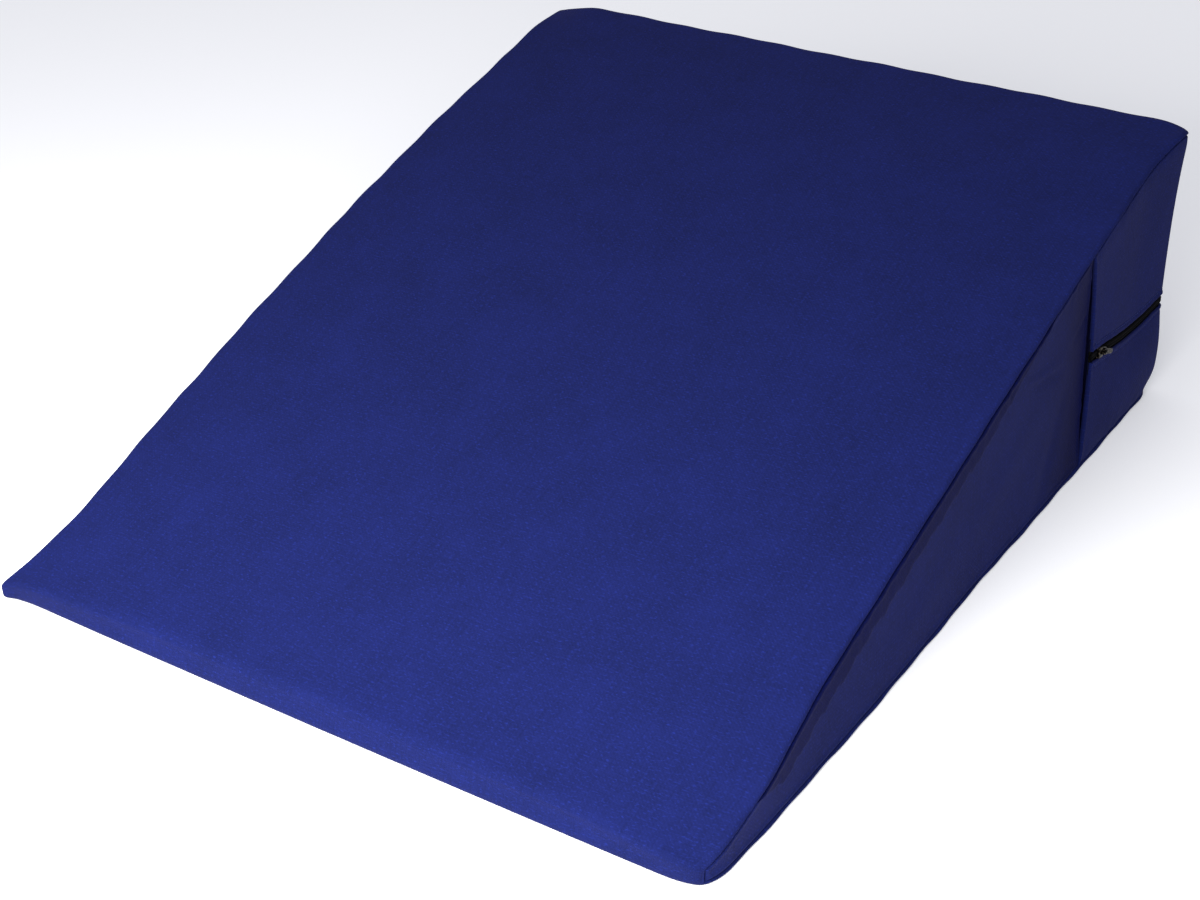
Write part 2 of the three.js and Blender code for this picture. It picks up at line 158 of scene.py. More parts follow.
@dataclass(frozen=True)
class WedgeForm:
    """The soft wedge that every piece lies on, and the ways onto it.

    A point of the sharp wedge is rounded by skin, and moved by settle to where filling, seams
    and zip put it. A lift is a height above that surface, negative below it.
    """

    width: float = 510 * MM
    depth: float = 614 * MM
    back_height: float = 204 * MM
    nose_height: float = 16 * MM
    edge_radius: float = 5 * MM
    slope_rise: float = 4.5 * MM
    slope_crown: float = 1.5 * MM
    side_draw: float = 3.5 * MM
    back_draw: float = 3 * MM
    nose_bulge: float = 1.2 * MM
    low_bulge: float = 2.5 * MM
    low_bulge_end: float = 0.5
    seam_dent: float = 1.5 * MM
    seam_dent_reach: float = 30 * MM
    seam_bow: float = 14 * MM
    seam_lean: float = 10 * MM
    draw_reach: float = 60 * MM
    band_wrap: float = 132 * MM
    seam_inset: float = 3 * MM
    flare_at: float = 59 * MM
    flare_reach: float = 43 * MM
    low_pinch: float = 5 * MM
    low_pinch_reach: float = 24 * MM
    tall_left: TallCorner = TallCorner(8 * MM, 45 * MM, -8.5 * MM, 260 * MM)
    tall_right: TallCorner = TallCorner(4.7 * MM, 26 * MM, 6.2 * MM, 60 * MM)
    nose_left: NoseCorner = NoseCorner(6 * MM, 26 * MM, -2.8 * MM, 8.4 * MM, 0.085, 0)
    nose_right: NoseCorner = NoseCorner(4.2 * MM, 26 * MM, 5.5 * MM, 2 * MM, 0.19, 3.8 * MM)
    zip_height: float = 79 * MM
    sag: ZipSag = ZipSag()

    @property
    def half_width(self) -> float:
        """Half the wedge's width."""
        return self.width / 2

    @property
    def half_depth(self) -> float:
        """Half the wedge's depth."""
        return self.depth / 2

    @property
    def seam_y(self) -> float:
        """Where the upright seams meet the base and the slope."""
        return self.half_depth - self.band_wrap

    @property
    def band_length(self) -> float:
        """The zip band's length, along both side parts and the back."""
        return 2 * self.band_wrap + self.width

    def slope_height(self, y: np.ndarray) -> np.ndarray:
        """The straight wedge's height at a place along its depth."""
        return blend(self.nose_height, self.back_height, (y + self.half_depth) / self.depth)

    def seam_top(self, y: np.ndarray) -> np.ndarray:
        """The height of the seam that joins a side to the slope."""
        return self.slope_height(y) - self.seam_inset

    def skin(self, sharp: np.ndarray, lift: np.ndarray) -> np.ndarray:
        """Takes points of the sharp wedge onto the one with rounded edges.

        Args:
            sharp: Points on the sharp wedge's surface, a row each.
            lift: How far each goes off the surface.

        Returns:
            The moved points.
        """
        radius = self.edge_radius
        core = np.empty_like(sharp)
        core[:, 0] = np.clip(sharp[:, 0], radius - self.half_width, self.half_width - radius)
        core[:, 1] = np.clip(sharp[:, 1], radius - self.half_depth, self.half_depth - radius)
        core[:, 2] = np.clip(sharp[:, 2], radius, self.slope_height(core[:, 1]) - radius)
        outward = sharp - core
        outward /= np.linalg.norm(outward, axis=1, keepdims=True)
        return core + outward * (radius + lift)[:, None]

    def settle(self, points: np.ndarray) -> np.ndarray:
        """Moves points of the rounded wedge to where the soft pillow has them.

        Args:
            points: Points on or near the rounded wedge, a row each.

        Returns:
            The moved points.
        """
        x, y, z = points.T
        right = x > 0

        def corner(one: float, other: float) -> np.ndarray:
            """Picks the right hand side's value or the left hand side's for each point."""
            return np.where(right, one, other)

        across = np.clip(x / self.half_width, -1, 1)
        along = np.clip((y + self.half_depth) / self.depth, 0, 1)
        height = self.slope_height(y)
        up = np.clip(z / height, 0, 1)
        from_side = np.maximum(0, self.half_width - np.abs(x))
        from_back = np.maximum(0, self.half_depth - y)
        from_front = np.maximum(0, self.half_depth + y)
        at_side = nearness(from_side, self.draw_reach)

        rise = self.slope_rise * late_bulge(along) + self.slope_crown * (1 - across**2) * bulge(along)
        to_tall_corner = np.hypot(from_side, from_back)
        tall_reach = corner(self.tall_right.reach, self.tall_left.reach)
        tall_droop = corner(self.tall_right.droop, self.tall_left.droop)
        tall_droop = tall_droop * pointed(to_tall_corner, tall_reach)
        low_pinch = self.low_pinch * pointed(np.hypot(to_tall_corner, z), self.low_pinch_reach)
        nose_reach = corner(self.nose_right.reach, self.nose_left.reach)
        pinch = pointed(np.hypot(from_side, from_front), nose_reach)
        nose_droop = corner(self.nose_right.droop, self.nose_left.droop)
        nose_draw = corner(self.nose_right.draw, self.nose_left.draw)

        ear = corner(self.tall_right.ear, self.tall_left.ear) * up**4
        ear *= nearness(from_back, corner(self.tall_right.ear_reach, self.tall_left.ear_reach))
        flare = corner(self.nose_right.flare, self.nose_left.flare)
        flare = flare * np.exp(-(((from_front - self.flare_at) / self.flare_reach) ** 2))
        seam_draw = corner(self.nose_right.seam_draw, self.nose_left.seam_draw)
        seam_draw_at = corner(self.nose_right.seam_draw_at, self.nose_left.seam_draw_at)
        seam_draw = seam_draw * early_peak(along, seam_draw_at)
        seam_draw = (seam_draw - flare) * up
        low_bulge = self.low_bulge * bulge(along / self.low_bulge_end) * (1 - up)
        face_draw = self.side_draw * bulge(up) * (height / self.back_height)
        face_draw *= 1 - nearness(from_back, self.draw_reach)
        dent = self.seam_dent * np.exp(-(((y - self.seam_y) / self.seam_dent_reach) ** 2)) * bulge(up)
        side_shift = at_side * (ear + low_bulge - seam_draw - face_draw - dent)
        side_shift = side_shift - nose_draw * pinch - low_pinch
        back_draw = self.back_draw * bulge(up) * (1 - at_side) * nearness(from_back, self.draw_reach)
        back_draw = back_draw + low_pinch
        nose_bulge = self.nose_bulge * (1 - across**2) * nearness(from_front, self.draw_reach)
        sag = ((y - self.seam_y - self.sag.at) / self.sag.along_reach) ** 2
        sag += ((z - self.zip_height) / self.sag.up_reach) ** 2
        sag += ((self.half_width - x) / self.sag.in_reach) ** 2
        return np.column_stack(
            (
                x + np.sign(x) * side_shift,
                y - back_draw - nose_bulge + nose_draw * pinch,
                z + up * (rise - tall_droop - nose_droop * pinch) - self.sag.depth * np.exp(-sag),
            )
        )

    def bow(self, z: np.ndarray) -> np.ndarray:
        """How far back the upright seams lie at a height."""
        up = np.minimum(1, z / self.slope_height(self.seam_y))
        return self.seam_bow * bulge(up) - self.seam_lean * up**3

    def sewn_top(self, y: np.ndarray) -> np.ndarray:
        """The height of that seam at a place that the upright seam's bow has yet to move."""
        near = nearness(np.abs(y - self.seam_y), self.band_wrap)
        return self.seam_top(y + self.bow(self.seam_top(y)) * near)

    def band_point(self, run: np.ndarray, z: np.ndarray) -> np.ndarray:
        """Finds points of the zip band on the sharp wedge.

        Args:
            run: The way along the band from the right hand upright seam, round the back.
            z: The heights.

        Returns:
            The points, a row each.
        """
        into_side = np.clip(np.minimum(run, self.band_length - run), 0, None)
        on_side = into_side < self.band_wrap
        side = np.where(run < self.band_length / 2, 1, -1)
        bow = self.bow(z) * nearness(into_side, self.band_wrap)
        nearest_end = np.minimum(run, self.band_length - run)
        x = np.where(on_side, side * self.half_width, self.half_width + self.band_wrap - run)
        y = np.where(on_side, self.seam_y + nearest_end + bow, self.half_depth)
        return np.column_stack((x, y, z))

    def on_band(self, run: np.ndarray, z: np.ndarray, lift: np.ndarray) -> np.ndarray:
        """Finds points of the zip band on the soft form.

        Args:
            run: The way along the band from the right hand upright seam.
            z: The heights on the sharp wedge.
            lift: The heights above the form's surface.

        Returns:
            The points, a row each.
        """
        return self.settle(self.skin(self.band_point(run, z), lift))

    def on_side(self, side: Side, y: np.ndarray, z: np.ndarray, lift: np.ndarray) -> np.ndarray:
        """Finds points of a side panel on the soft form.

        Args:
            side: Which side of the pillow.
            y: Places along the depth, before the upright seam bows.
            z: The heights on the sharp wedge.
            lift: The heights above the form's surface.

        Returns:
            The points, a row each.
        """
        bow = self.bow(z) * nearness(np.maximum(0, self.seam_y - y), self.band_wrap)
        sharp = np.column_stack((np.full_like(y, side.value * self.half_width), y + bow, z))
        return self.settle(self.skin(sharp, lift))


FORM = WedgeForm()


@dataclass(frozen=True)
class Crease:
    """One soft ridge or trough in a piece of cloth, placed in the cloth's own two coordinates.

    The height is that of its middle, negative for a trough, and the angle turns its length
    from the first coordinate towards the second.
    """

    first: float
    second: float
    length: float
    width: float
    angle: float
    height: float

    def lift(self, first: np.ndarray, second: np.ndarray) -> np.ndarray:
        """The crease's height at places on the cloth."""
        turn = math.radians(self.angle)
        along = (first - self.first) * math.cos(turn) + (second - self.second) * math.sin(turn)
        aside = (second - self.second) * math.cos(turn) - (first - self.first) * math.sin(turn)
        return self.height * np.exp(-((along / self.length) ** 2) - (aside / self.width) ** 2)


@dataclass(frozen=True)
class Pucker:
    """The small gathers that the thread of a seam draws up beside it."""

    spacing: float = 21 * MM
    reach: float = 11 * MM
    height: float = 0.28 * MM
    drift: float = 1.9

    def lift(self, along: np.ndarray, from_seam: np.ndarray) -> np.ndarray:
        """The gathers' height at places along a seam and away from it."""
        turns = 2 * math.pi * along / self.spacing
        uneven = turns + self.drift * np.sin(turns * 0.37) + self.drift * np.sin(turns * 0.173 + 1)
        strength = 0.65 + 0.35 * np.sin(turns * 0.11 + 0.6)
        return self.height * strength * np.sin(uneven) * np.exp(-((from_seam / self.reach) ** 2))


@dataclass(frozen=True)
class PressedHem:
    """The seam's turned-in edges, pressed down under a side panel below the slope's seam.

    It lifts the cloth a little, and its cut edge shows through as a step. The band inside its cut edge is
    also darkened with painted shade.
    """

    width: float = 17 * MM
    front_start: float = -262 * MM
    front_length: float = 40 * MM
    back_start: float = 10 * MM
    back_length: float = 115 * MM
    waver: float = 1.1 * MM
    waver_length: float = 23 * MM
    height: float = 0.8 * MM
    step: float = 1.6 * MM

    def inside(self, y: np.ndarray, below: np.ndarray) -> np.ndarray:
        """How far places on the panel lie inside the hem's cut edge, negative outside it."""
        front = nearness(self.front_start + self.front_length - y, self.front_length)
        back = nearness(y - self.back_start, self.back_length)
        turns = 2 * math.pi * y / self.waver_length
        waver = self.waver * (np.sin(turns) + 0.7 * np.sin(turns * 2.3 + 1) + 0.5 * np.sin(turns * 0.41))
        return (self.width + waver) * front * back - below

    def lift(self, y: np.ndarray, below: np.ndarray) -> np.ndarray:
        """How far the hem lifts the cloth."""
        inside = self.inside(y, below)
        return self.height * nearness(self.step / 2 - inside, self.step)


def rolled(distance: np.ndarray, radius: float) -> np.ndarray:
    """The lift of a rolled cloth edge, from one radius down at the edge to 0 a radius in."""
    inside = np.clip(1 - distance / radius, 0, 1)
    return radius * (np.sqrt(1 - inside**2) - 1)


def colour(code: str) -> tuple[float, float, float, float]:
    """Turns an sRGB hex code into a linear colour.

    Args:
        code: Six hex digits.

    Returns:
        Red, green, blue and an alpha of 1.
    """
    shares = [int(code[place : place + 2], 16) / 255 for place in (0, 2, 4)]
    linear = [share / 12.92 if share <= 0.04045 else ((share + 0.055) / 1.055) ** 2.4 for share in shares]
    return (*linear, 1.0)


@dataclass
class NodeTree:
    """A material's node tree while it is being filled."""

    material: bpy.types.Material

    def add(self, kind: str, settings: dict | None = None, **links) -> bpy.types.Node:
        """Adds a node, sets it and links it.

        Args:
            kind: The node's type.
            settings: Its properties by name, and its inputs by number or by socket name.
            **links: Inputs by name, with _ for a space, each an output socket or a value.

        Returns:
            The node.
        """
        node = self.material.node_tree.nodes.new(kind)
        for name, value in (settings or {}).items():
            if isinstance(name, int) or name in node.inputs:
                self.join(node.inputs[name], value)
            else:
                setattr(node, name, value)
        for name, value in links.items():
            self.join(node.inputs[name.replace("_", " ")], value)
        return node

    def join(self, socket: bpy.types.NodeSocket, value: object) -> None:
        """Links an output to a socket, or sets the socket's value."""
        if isinstance(value, bpy.types.NodeSocket):
            self.material.node_tree.links.new(value, socket)
        else:
            socket.default_value = value

    def cloth(self) -> bpy.types.NodeSocket:
        """Reads the piece's own cloth map."""
        return self.add("ShaderNodeUVMap", {"uv_map": CLOTH_MAP}).outputs["UV"]

    def place(self) -> bpy.types.NodeSocket:
        """Reads the place on the piece, in metres."""
        return self.add("ShaderNodeTexCoord").outputs["Object"]

    def stretched(self, place: bpy.types.NodeSocket, along: float, aside: float) -> bpy.types.NodeSocket:
        """Stretches places so that noise of scale 1 has the given length and width."""
        scale = (1 / along, 1 / aside, 1)
        return self.add("ShaderNodeMapping", {"Scale": scale}, Vector=place).outputs[0]

    def noise(self, place: bpy.types.NodeSocket, scale: float, detail: float) -> bpy.types.NodeSocket:
        """Adds noise of the given scale."""
        settings = {"Scale": scale, "Detail": detail, "Vector": place}
        return self.add("ShaderNodeTexNoise", settings).outputs["Fac"]

    def maths(self, operation: str, *values: object) -> bpy.types.NodeSocket:
        """Works out one operation on outputs and numbers."""
        return self.add("ShaderNodeMath", {"operation": operation, **dict(enumerate(values))}).outputs[0]

    def remap(
        self, value: bpy.types.NodeSocket, span: Sequence[float], onto: Sequence[float] = (0.0, 1.0)
    ) -> bpy.types.NodeSocket:
        """Takes a value from one span onto another."""
        ends = {"From Min": span[0], "From Max": span[1], "To Min": onto[0], "To Max": onto[1]}
        return self.add("ShaderNodeMapRange", ends, Value=value).outputs["Result"]

    def mixed(self, share: object, one: object, other: object, how: str = "MIX") -> bpy.types.NodeSocket:
        """Mixes two colours."""
        settings = {"data_type": "RGBA", "blend_type": how, 0: share, 6: one, 7: other}
        return self.add("ShaderNodeMix", settings).outputs[2]

    def bump(
        self, height: bpy.types.NodeSocket, strength: float, distance: float, *under: bpy.types.NodeSocket
    ) -> bpy.types.NodeSocket:
        """Roughens the surface by a height.

        Args:
            height: The height, from 0 to 1.
            strength: How much of it shows.
            distance: How high 1 stands.
            *under: The bump that it goes on, if there is one.

        Returns:
            The bumped normal.
        """
        settings = {"Strength": strength, "Distance": distance, "Height": height}
        if under:
            settings["Normal"] = under[0]
        return self.add("ShaderNodeBump", settings).outputs[0]

    def finished(self, settings: dict) -> bpy.types.Material:
        """Adds the shader with its settings, and gives the material back."""
        shader = self.add("ShaderNodeBsdfPrincipled", settings)
        self.add("ShaderNodeOutputMaterial", Surface=shader.outputs[0])
        return self.material


def new_material(name: str) -> NodeTree:
    """Makes an empty material with nodes.

    Args:
        name: The material's name.

    Returns:
        Its node tree.
    """
    material = bpy.data.materials.new(name)
    material.use_nodes = True
    material.node_tree.nodes.clear()
    return NodeTree(material)


@dataclass(frozen=True)
class PlainWeaveCotton:
    """Dyed plain weave cotton, vat dyed navy and washed.

    It gives the eye a matt, saturated blue with a soft nap that lightens at grazing angles,
    short slubs along both threads, and faint cloudiness where the dye took unevenly.
    """

    name: str = "plain_weave_cotton"
    dye: str = "11194d"
    dye_deep: str = "0c133c"
    fleck: str = "152060"
    # Painted shade: the share of the dye kept where the hem shade map darkens the side panels.
    painted_shade_share: tuple[float, float, float] = (0.1, 0.25, 0.55)
    nap: str = "9a8cd8"
    thread: float = 1.3 * MM  # real threads are 0.5 mm apart, too fine to show from a step away
    slub_length: float = 15 * MM
    slub_width: float = 1.2 * MM
    slub_share: float = 0.55
    cloud: float = 38 * MM
    cloud_share: float = 0.45
    dye_span: tuple[float, float] = (0.52, 1.02)
    fleck_length: float = 2.6 * MM
    fleck_width: float = 1.1 * MM
    fleck_span: tuple[float, float] = (0.56, 0.8)
    painted_shade_span: tuple[float, float] = (-0.5, 0.5)
    crumple: float = 9 * MM
    crumple_height: float = 0.6 * MM
    slub_height: float = 0.25 * MM
    weave_height: float = 0.16 * MM
    roughness: float = 0.92

    def make(self, with_painted_shade: bool = False) -> bpy.types.Material:
        """Makes the material on the piece's own cloth map, whose unit is a metre.

        Args:
            with_painted_shade: Whether the dye is darkened with painted shade where the piece's hem
            shade map says: under the slope's seam and ahead of the upright seam.

        Returns:
            The material.
        """
        tree = new_material(f"{self.name}_over_hem" if with_painted_shade else self.name)
        cloth, place = tree.cloth(), tree.place()
        threads = tree.add("ShaderNodeSeparateXYZ", {0: cloth}).outputs
        turns = [tree.maths("MULTIPLY", threads[axis], math.pi / self.thread) for axis in ("X", "Y")]
        weave = tree.maths("MULTIPLY", *[tree.maths("SINE", turn) for turn in turns])
        length, width = self.slub_length, self.slub_width
        both_ways = ((length, width), (width, length))
        slubs = [tree.noise(tree.stretched(cloth, *sizes), 1.0, 2.0) for sizes in both_ways]
        slub = tree.maths("ADD", *slubs)
        cloud = tree.noise(place, 1 / self.cloud, 3.0)
        tone = tree.maths("MULTIPLY", slub, self.slub_share)
        tone = tree.maths("MULTIPLY_ADD", cloud, self.cloud_share, tone)
        dye = tree.mixed(tree.remap(tone, self.dye_span), colour(self.dye_deep), colour(self.dye))
        specks = tree.noise(tree.stretched(cloth, self.fleck_length, self.fleck_width), 1.0, 1.0)
        dye = tree.mixed(tree.remap(specks, self.fleck_span), dye, colour(self.fleck))
        # Painted shade: darkens the dye where the hem shade map says, for the shade under the slope's seam
        # and ahead of the upright seam.
        if with_painted_shade:
            hem = tree.add("ShaderNodeAttribute", {"attribute_name": HEM_SHADE_MAP}).outputs["Fac"]
            dye = tree.mixed(tree.remap(hem, self.painted_shade_span), dye, (*self.painted_shade_share, 1.0), "MULTIPLY")
        crumpled = tree.bump(tree.noise(place, 1 / self.crumple, 2.0), 0.35, self.crumple_height)
        slubbed = tree.bump(slub, 0.3, self.slub_height, crumpled)
        woven = tree.bump(weave, 0.35, self.weave_height, slubbed)
        return tree.finished(
            {
                "Roughness": self.roughness,
                "IOR": 1.45,
                "Specular IOR Level": 0.09,
                "Sheen Weight": 0.03,
                "Sheen Roughness": 0.5,
                "Sheen Tint": colour(self.nap),
                "Base Color": dye,
                "Normal": woven,
            }
        )


@dataclass(frozen=True)
class ZipTape:
    """Black polyester zip tape, woven in fine ribs.

    It gives the eye a dense matt black with a faint rib along its length.
    """

    name: str = "polyester_zip_tape"
    dye: str = "060608"
    rib: float = 0.9 * MM
    fuzz: float = 2 * MM
    relief: float = 0.2 * MM

    def make(self) -> bpy.types.Material:
        """Makes the material on the piece's own cloth map."""
        tree = new_material(self.name)
        cloth = tree.cloth()
        across = tree.add("ShaderNodeSeparateXYZ", {0: cloth}).outputs["Y"]
        rib = tree.maths("SINE", tree.maths("MULTIPLY", across, 2 * math.pi / self.rib))
        fuzz = tree.noise(cloth, 1 / self.fuzz, 2.0)
        fuzzy = tree.bump(fuzz, 0.3, self.relief, tree.bump(rib, 0.5, self.relief))
        return tree.finished(
            {
                "Base Color": colour(self.dye),
                "Roughness": 0.85,
                "IOR": 1.5,
                "Specular IOR Level": 0.06,
                "Normal": fuzzy,
            }
        )


@dataclass(frozen=True)
class CoilNylon:
    """Extruded nylon monofilament, dyed black and wound.

    It gives the eye a dark satin gloss with small highlights on each turn.
    """

    name: str = "nylon_monofilament"
    dye: str = "060608"
    wear: float = 14 * MM

    def make(self) -> bpy.types.Material:
        """Makes the material on object coordinates."""
        tree = new_material(self.name)
        gloss = tree.remap(tree.noise(tree.place(), 1 / self.wear, 3.0), (0.0, 1.0), (0.5, 0.7))
        return tree.finished(
            {"Base Color": colour(self.dye), "Roughness": gloss, "IOR": 1.53, "Specular IOR Level": 0.05}
        )


@dataclass(frozen=True)
class CastZinc:
    """Die cast zinc with a dull nickel plate, rubbed in use.

    It gives the eye a warm grey metal, darker and brighter in small random patches.
    """

    name: str = "cast_zinc"
    plate: str = "4e463c"
    tarnish: str = "141210"
    grain: float = 1.6 * MM
    worn_span: tuple[float, float] = (0.5, 0.62)
    pit: float = 0.1 * MM

    def make(self) -> bpy.types.Material:
        """Makes the material on object coordinates."""
        tree = new_material(self.name)
        grain = tree.noise(tree.place(), 1 / self.grain, 4.0)
        worn = tree.remap(grain, self.worn_span)
        return tree.finished(
            {
                "Base Color": tree.mixed(worn, colour(self.tarnish), colour(self.plate)),
                "Metallic": 1.0,
                "Roughness": tree.remap(worn, (0.0, 1.0), (0.5, 0.3)),
                "Normal": tree.bump(grain, 0.25, self.pit),
            }
        )


@dataclass(frozen=True)
class SewingThread:
    """Spun polyester sewing thread, dyed to go with the cloth.

    It gives the eye short soft dashes with a slight gloss.
    """

    name: str = "sewing_thread"
    dye: str = "1c2868"
    twist: float = 0.6 * MM
    ply: float = 0.08 * MM

    def make(self) -> bpy.types.Material:
        """Makes the material on object coordinates."""
        tree = new_material(self.name)
        twisted = tree.bump(tree.noise(tree.place(), 1 / self.twist, 1.0), 0.4, self.ply)
        return tree.finished(
            {
                "Base Color": colour(self.dye),
                "Roughness": 0.7,
                "IOR": 1.5,
                "Specular IOR Level": 0.2,
                "Normal": twisted,
            }
        )


def read_points(mesh: bpy.types.Mesh) -> np.ndarray:
    """Reads a mesh's points, a row each."""
    points = np.empty(len(mesh.vertices) * 3, np.float32)
    mesh.vertices.foreach_get("co", points)
    return points.reshape(-1, 3).astype(float)


def write_points(mesh: bpy.types.Mesh, points: np.ndarray) -> None:
    """Puts a mesh's points where the rows say."""
    mesh.vertices.foreach_set("co", points.astype(np.float32).ravel())
    mesh.update()


def faces_by_corner(mesh: bpy.types.Mesh) -> np.ndarray:
    """Reads which vertex each face corner has."""
    corners = np.empty(len(mesh.loops), np.int32)
    mesh.loops.foreach_get("vertex_index", corners)
    return corners


def add_cloth_map(mesh: bpy.types.Mesh, per_corner: np.ndarray) -> None:
    """Gives a mesh its cloth map, in metres along the two threads, a row for each corner."""
    layer = mesh.uv_layers.new(name=CLOTH_MAP)
    layer.uv.foreach_set("vector", per_corner.astype(np.float32).ravel())


def new_piece(name: str, mesh_maker: bmesh.types.BMesh) -> bpy.types.Object:
    """Makes a smooth shaded object from a bmesh, which it frees.

    Args:
        name: The piece's name.
        mesh_maker: The finished bmesh.

    Returns:
        The object, linked to the scene.
    """
    mesh = bpy.data.meshes.new(name)
    mesh_maker.to_mesh(mesh)
    mesh_maker.free()
    mesh.shade_smooth()
    piece = bpy.data.objects.new(name, mesh)
    bpy.context.scene.collection.objects.link(piece)
    return piece


def dress(
    piece: bpy.types.Object, material: bpy.types.Material, stands_for: Sequence[str] = ()
) -> None:
    """Gives a piece its finish, its body and the solids that it stands for.

    Args:
        piece: The finished piece.
        material: Its material.
        stands_for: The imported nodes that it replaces.
    """
    piece.data.materials.clear()
    piece.data.materials.append(material)
    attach(piece, BODY)
    if stands_for:
        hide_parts(*stands_for)


def thicken(piece: bpy.types.Object, thickness: float) -> None:
    """Gives a sheet its thickness, inwards from its outer face."""
    modifier = piece.modifiers.new("cloth_thickness", "SOLIDIFY")
    modifier.thickness = thickness
    modifier.offset = -1


def lay_sheet(
    name: str,
    columns: np.ndarray,
    rows: int,
    place: Callable[[np.ndarray, np.ndarray], tuple[np.ndarray, np.ndarray]],
) -> bpy.types.Object:
    """Makes a sheet of cloth from a flat grid.

    Args:
        name: The piece's name.
        columns: The station of each column.
        rows: How many steps the grid has across.
        place: Takes each point's station and its share of the way across, and returns the
            points and their cloth coordinates.

    Returns:
        The sheet, a single layer.
    """
    steps = len(columns) - 1
    flat = bmesh.new()
    bmesh.ops.create_grid(flat, x_segments=steps, y_segments=rows, size=0.5)
    piece = new_piece(name, flat)
    shares = read_points(piece.data)[:, :2] + 0.5
    stations = columns[np.rint(shares[:, 0] * steps).astype(int)]
    points, cloth = place(stations, np.rint(shares[:, 1] * rows) / rows)
    write_points(piece.data, points)
    add_cloth_map(piece.data, cloth[faces_by_corner(piece.data)])
    return piece


@dataclass
class Finishes:
    """The pillow's materials, each made once."""

    cotton: bpy.types.Material = field(init=False)
    # The cotton with painted shade, for the side panels.
    cotton_with_painted_shade: bpy.types.Material = field(init=False)
    tape: bpy.types.Material = field(init=False)
    nylon: bpy.types.Material = field(init=False)
    zinc: bpy.types.Material = field(init=False)
    thread: bpy.types.Material = field(init=False)

    def __post_init__(self) -> None:
        """Makes every material."""
        self.cotton = PlainWeaveCotton().make()
        self.cotton_with_painted_shade = PlainWeaveCotton().make(with_painted_shade=True)
        self.tape = ZipTape().make()
        self.nylon = CoilNylon().make()
        self.zinc = CastZinc().make()
        self.thread = SewingThread().make()


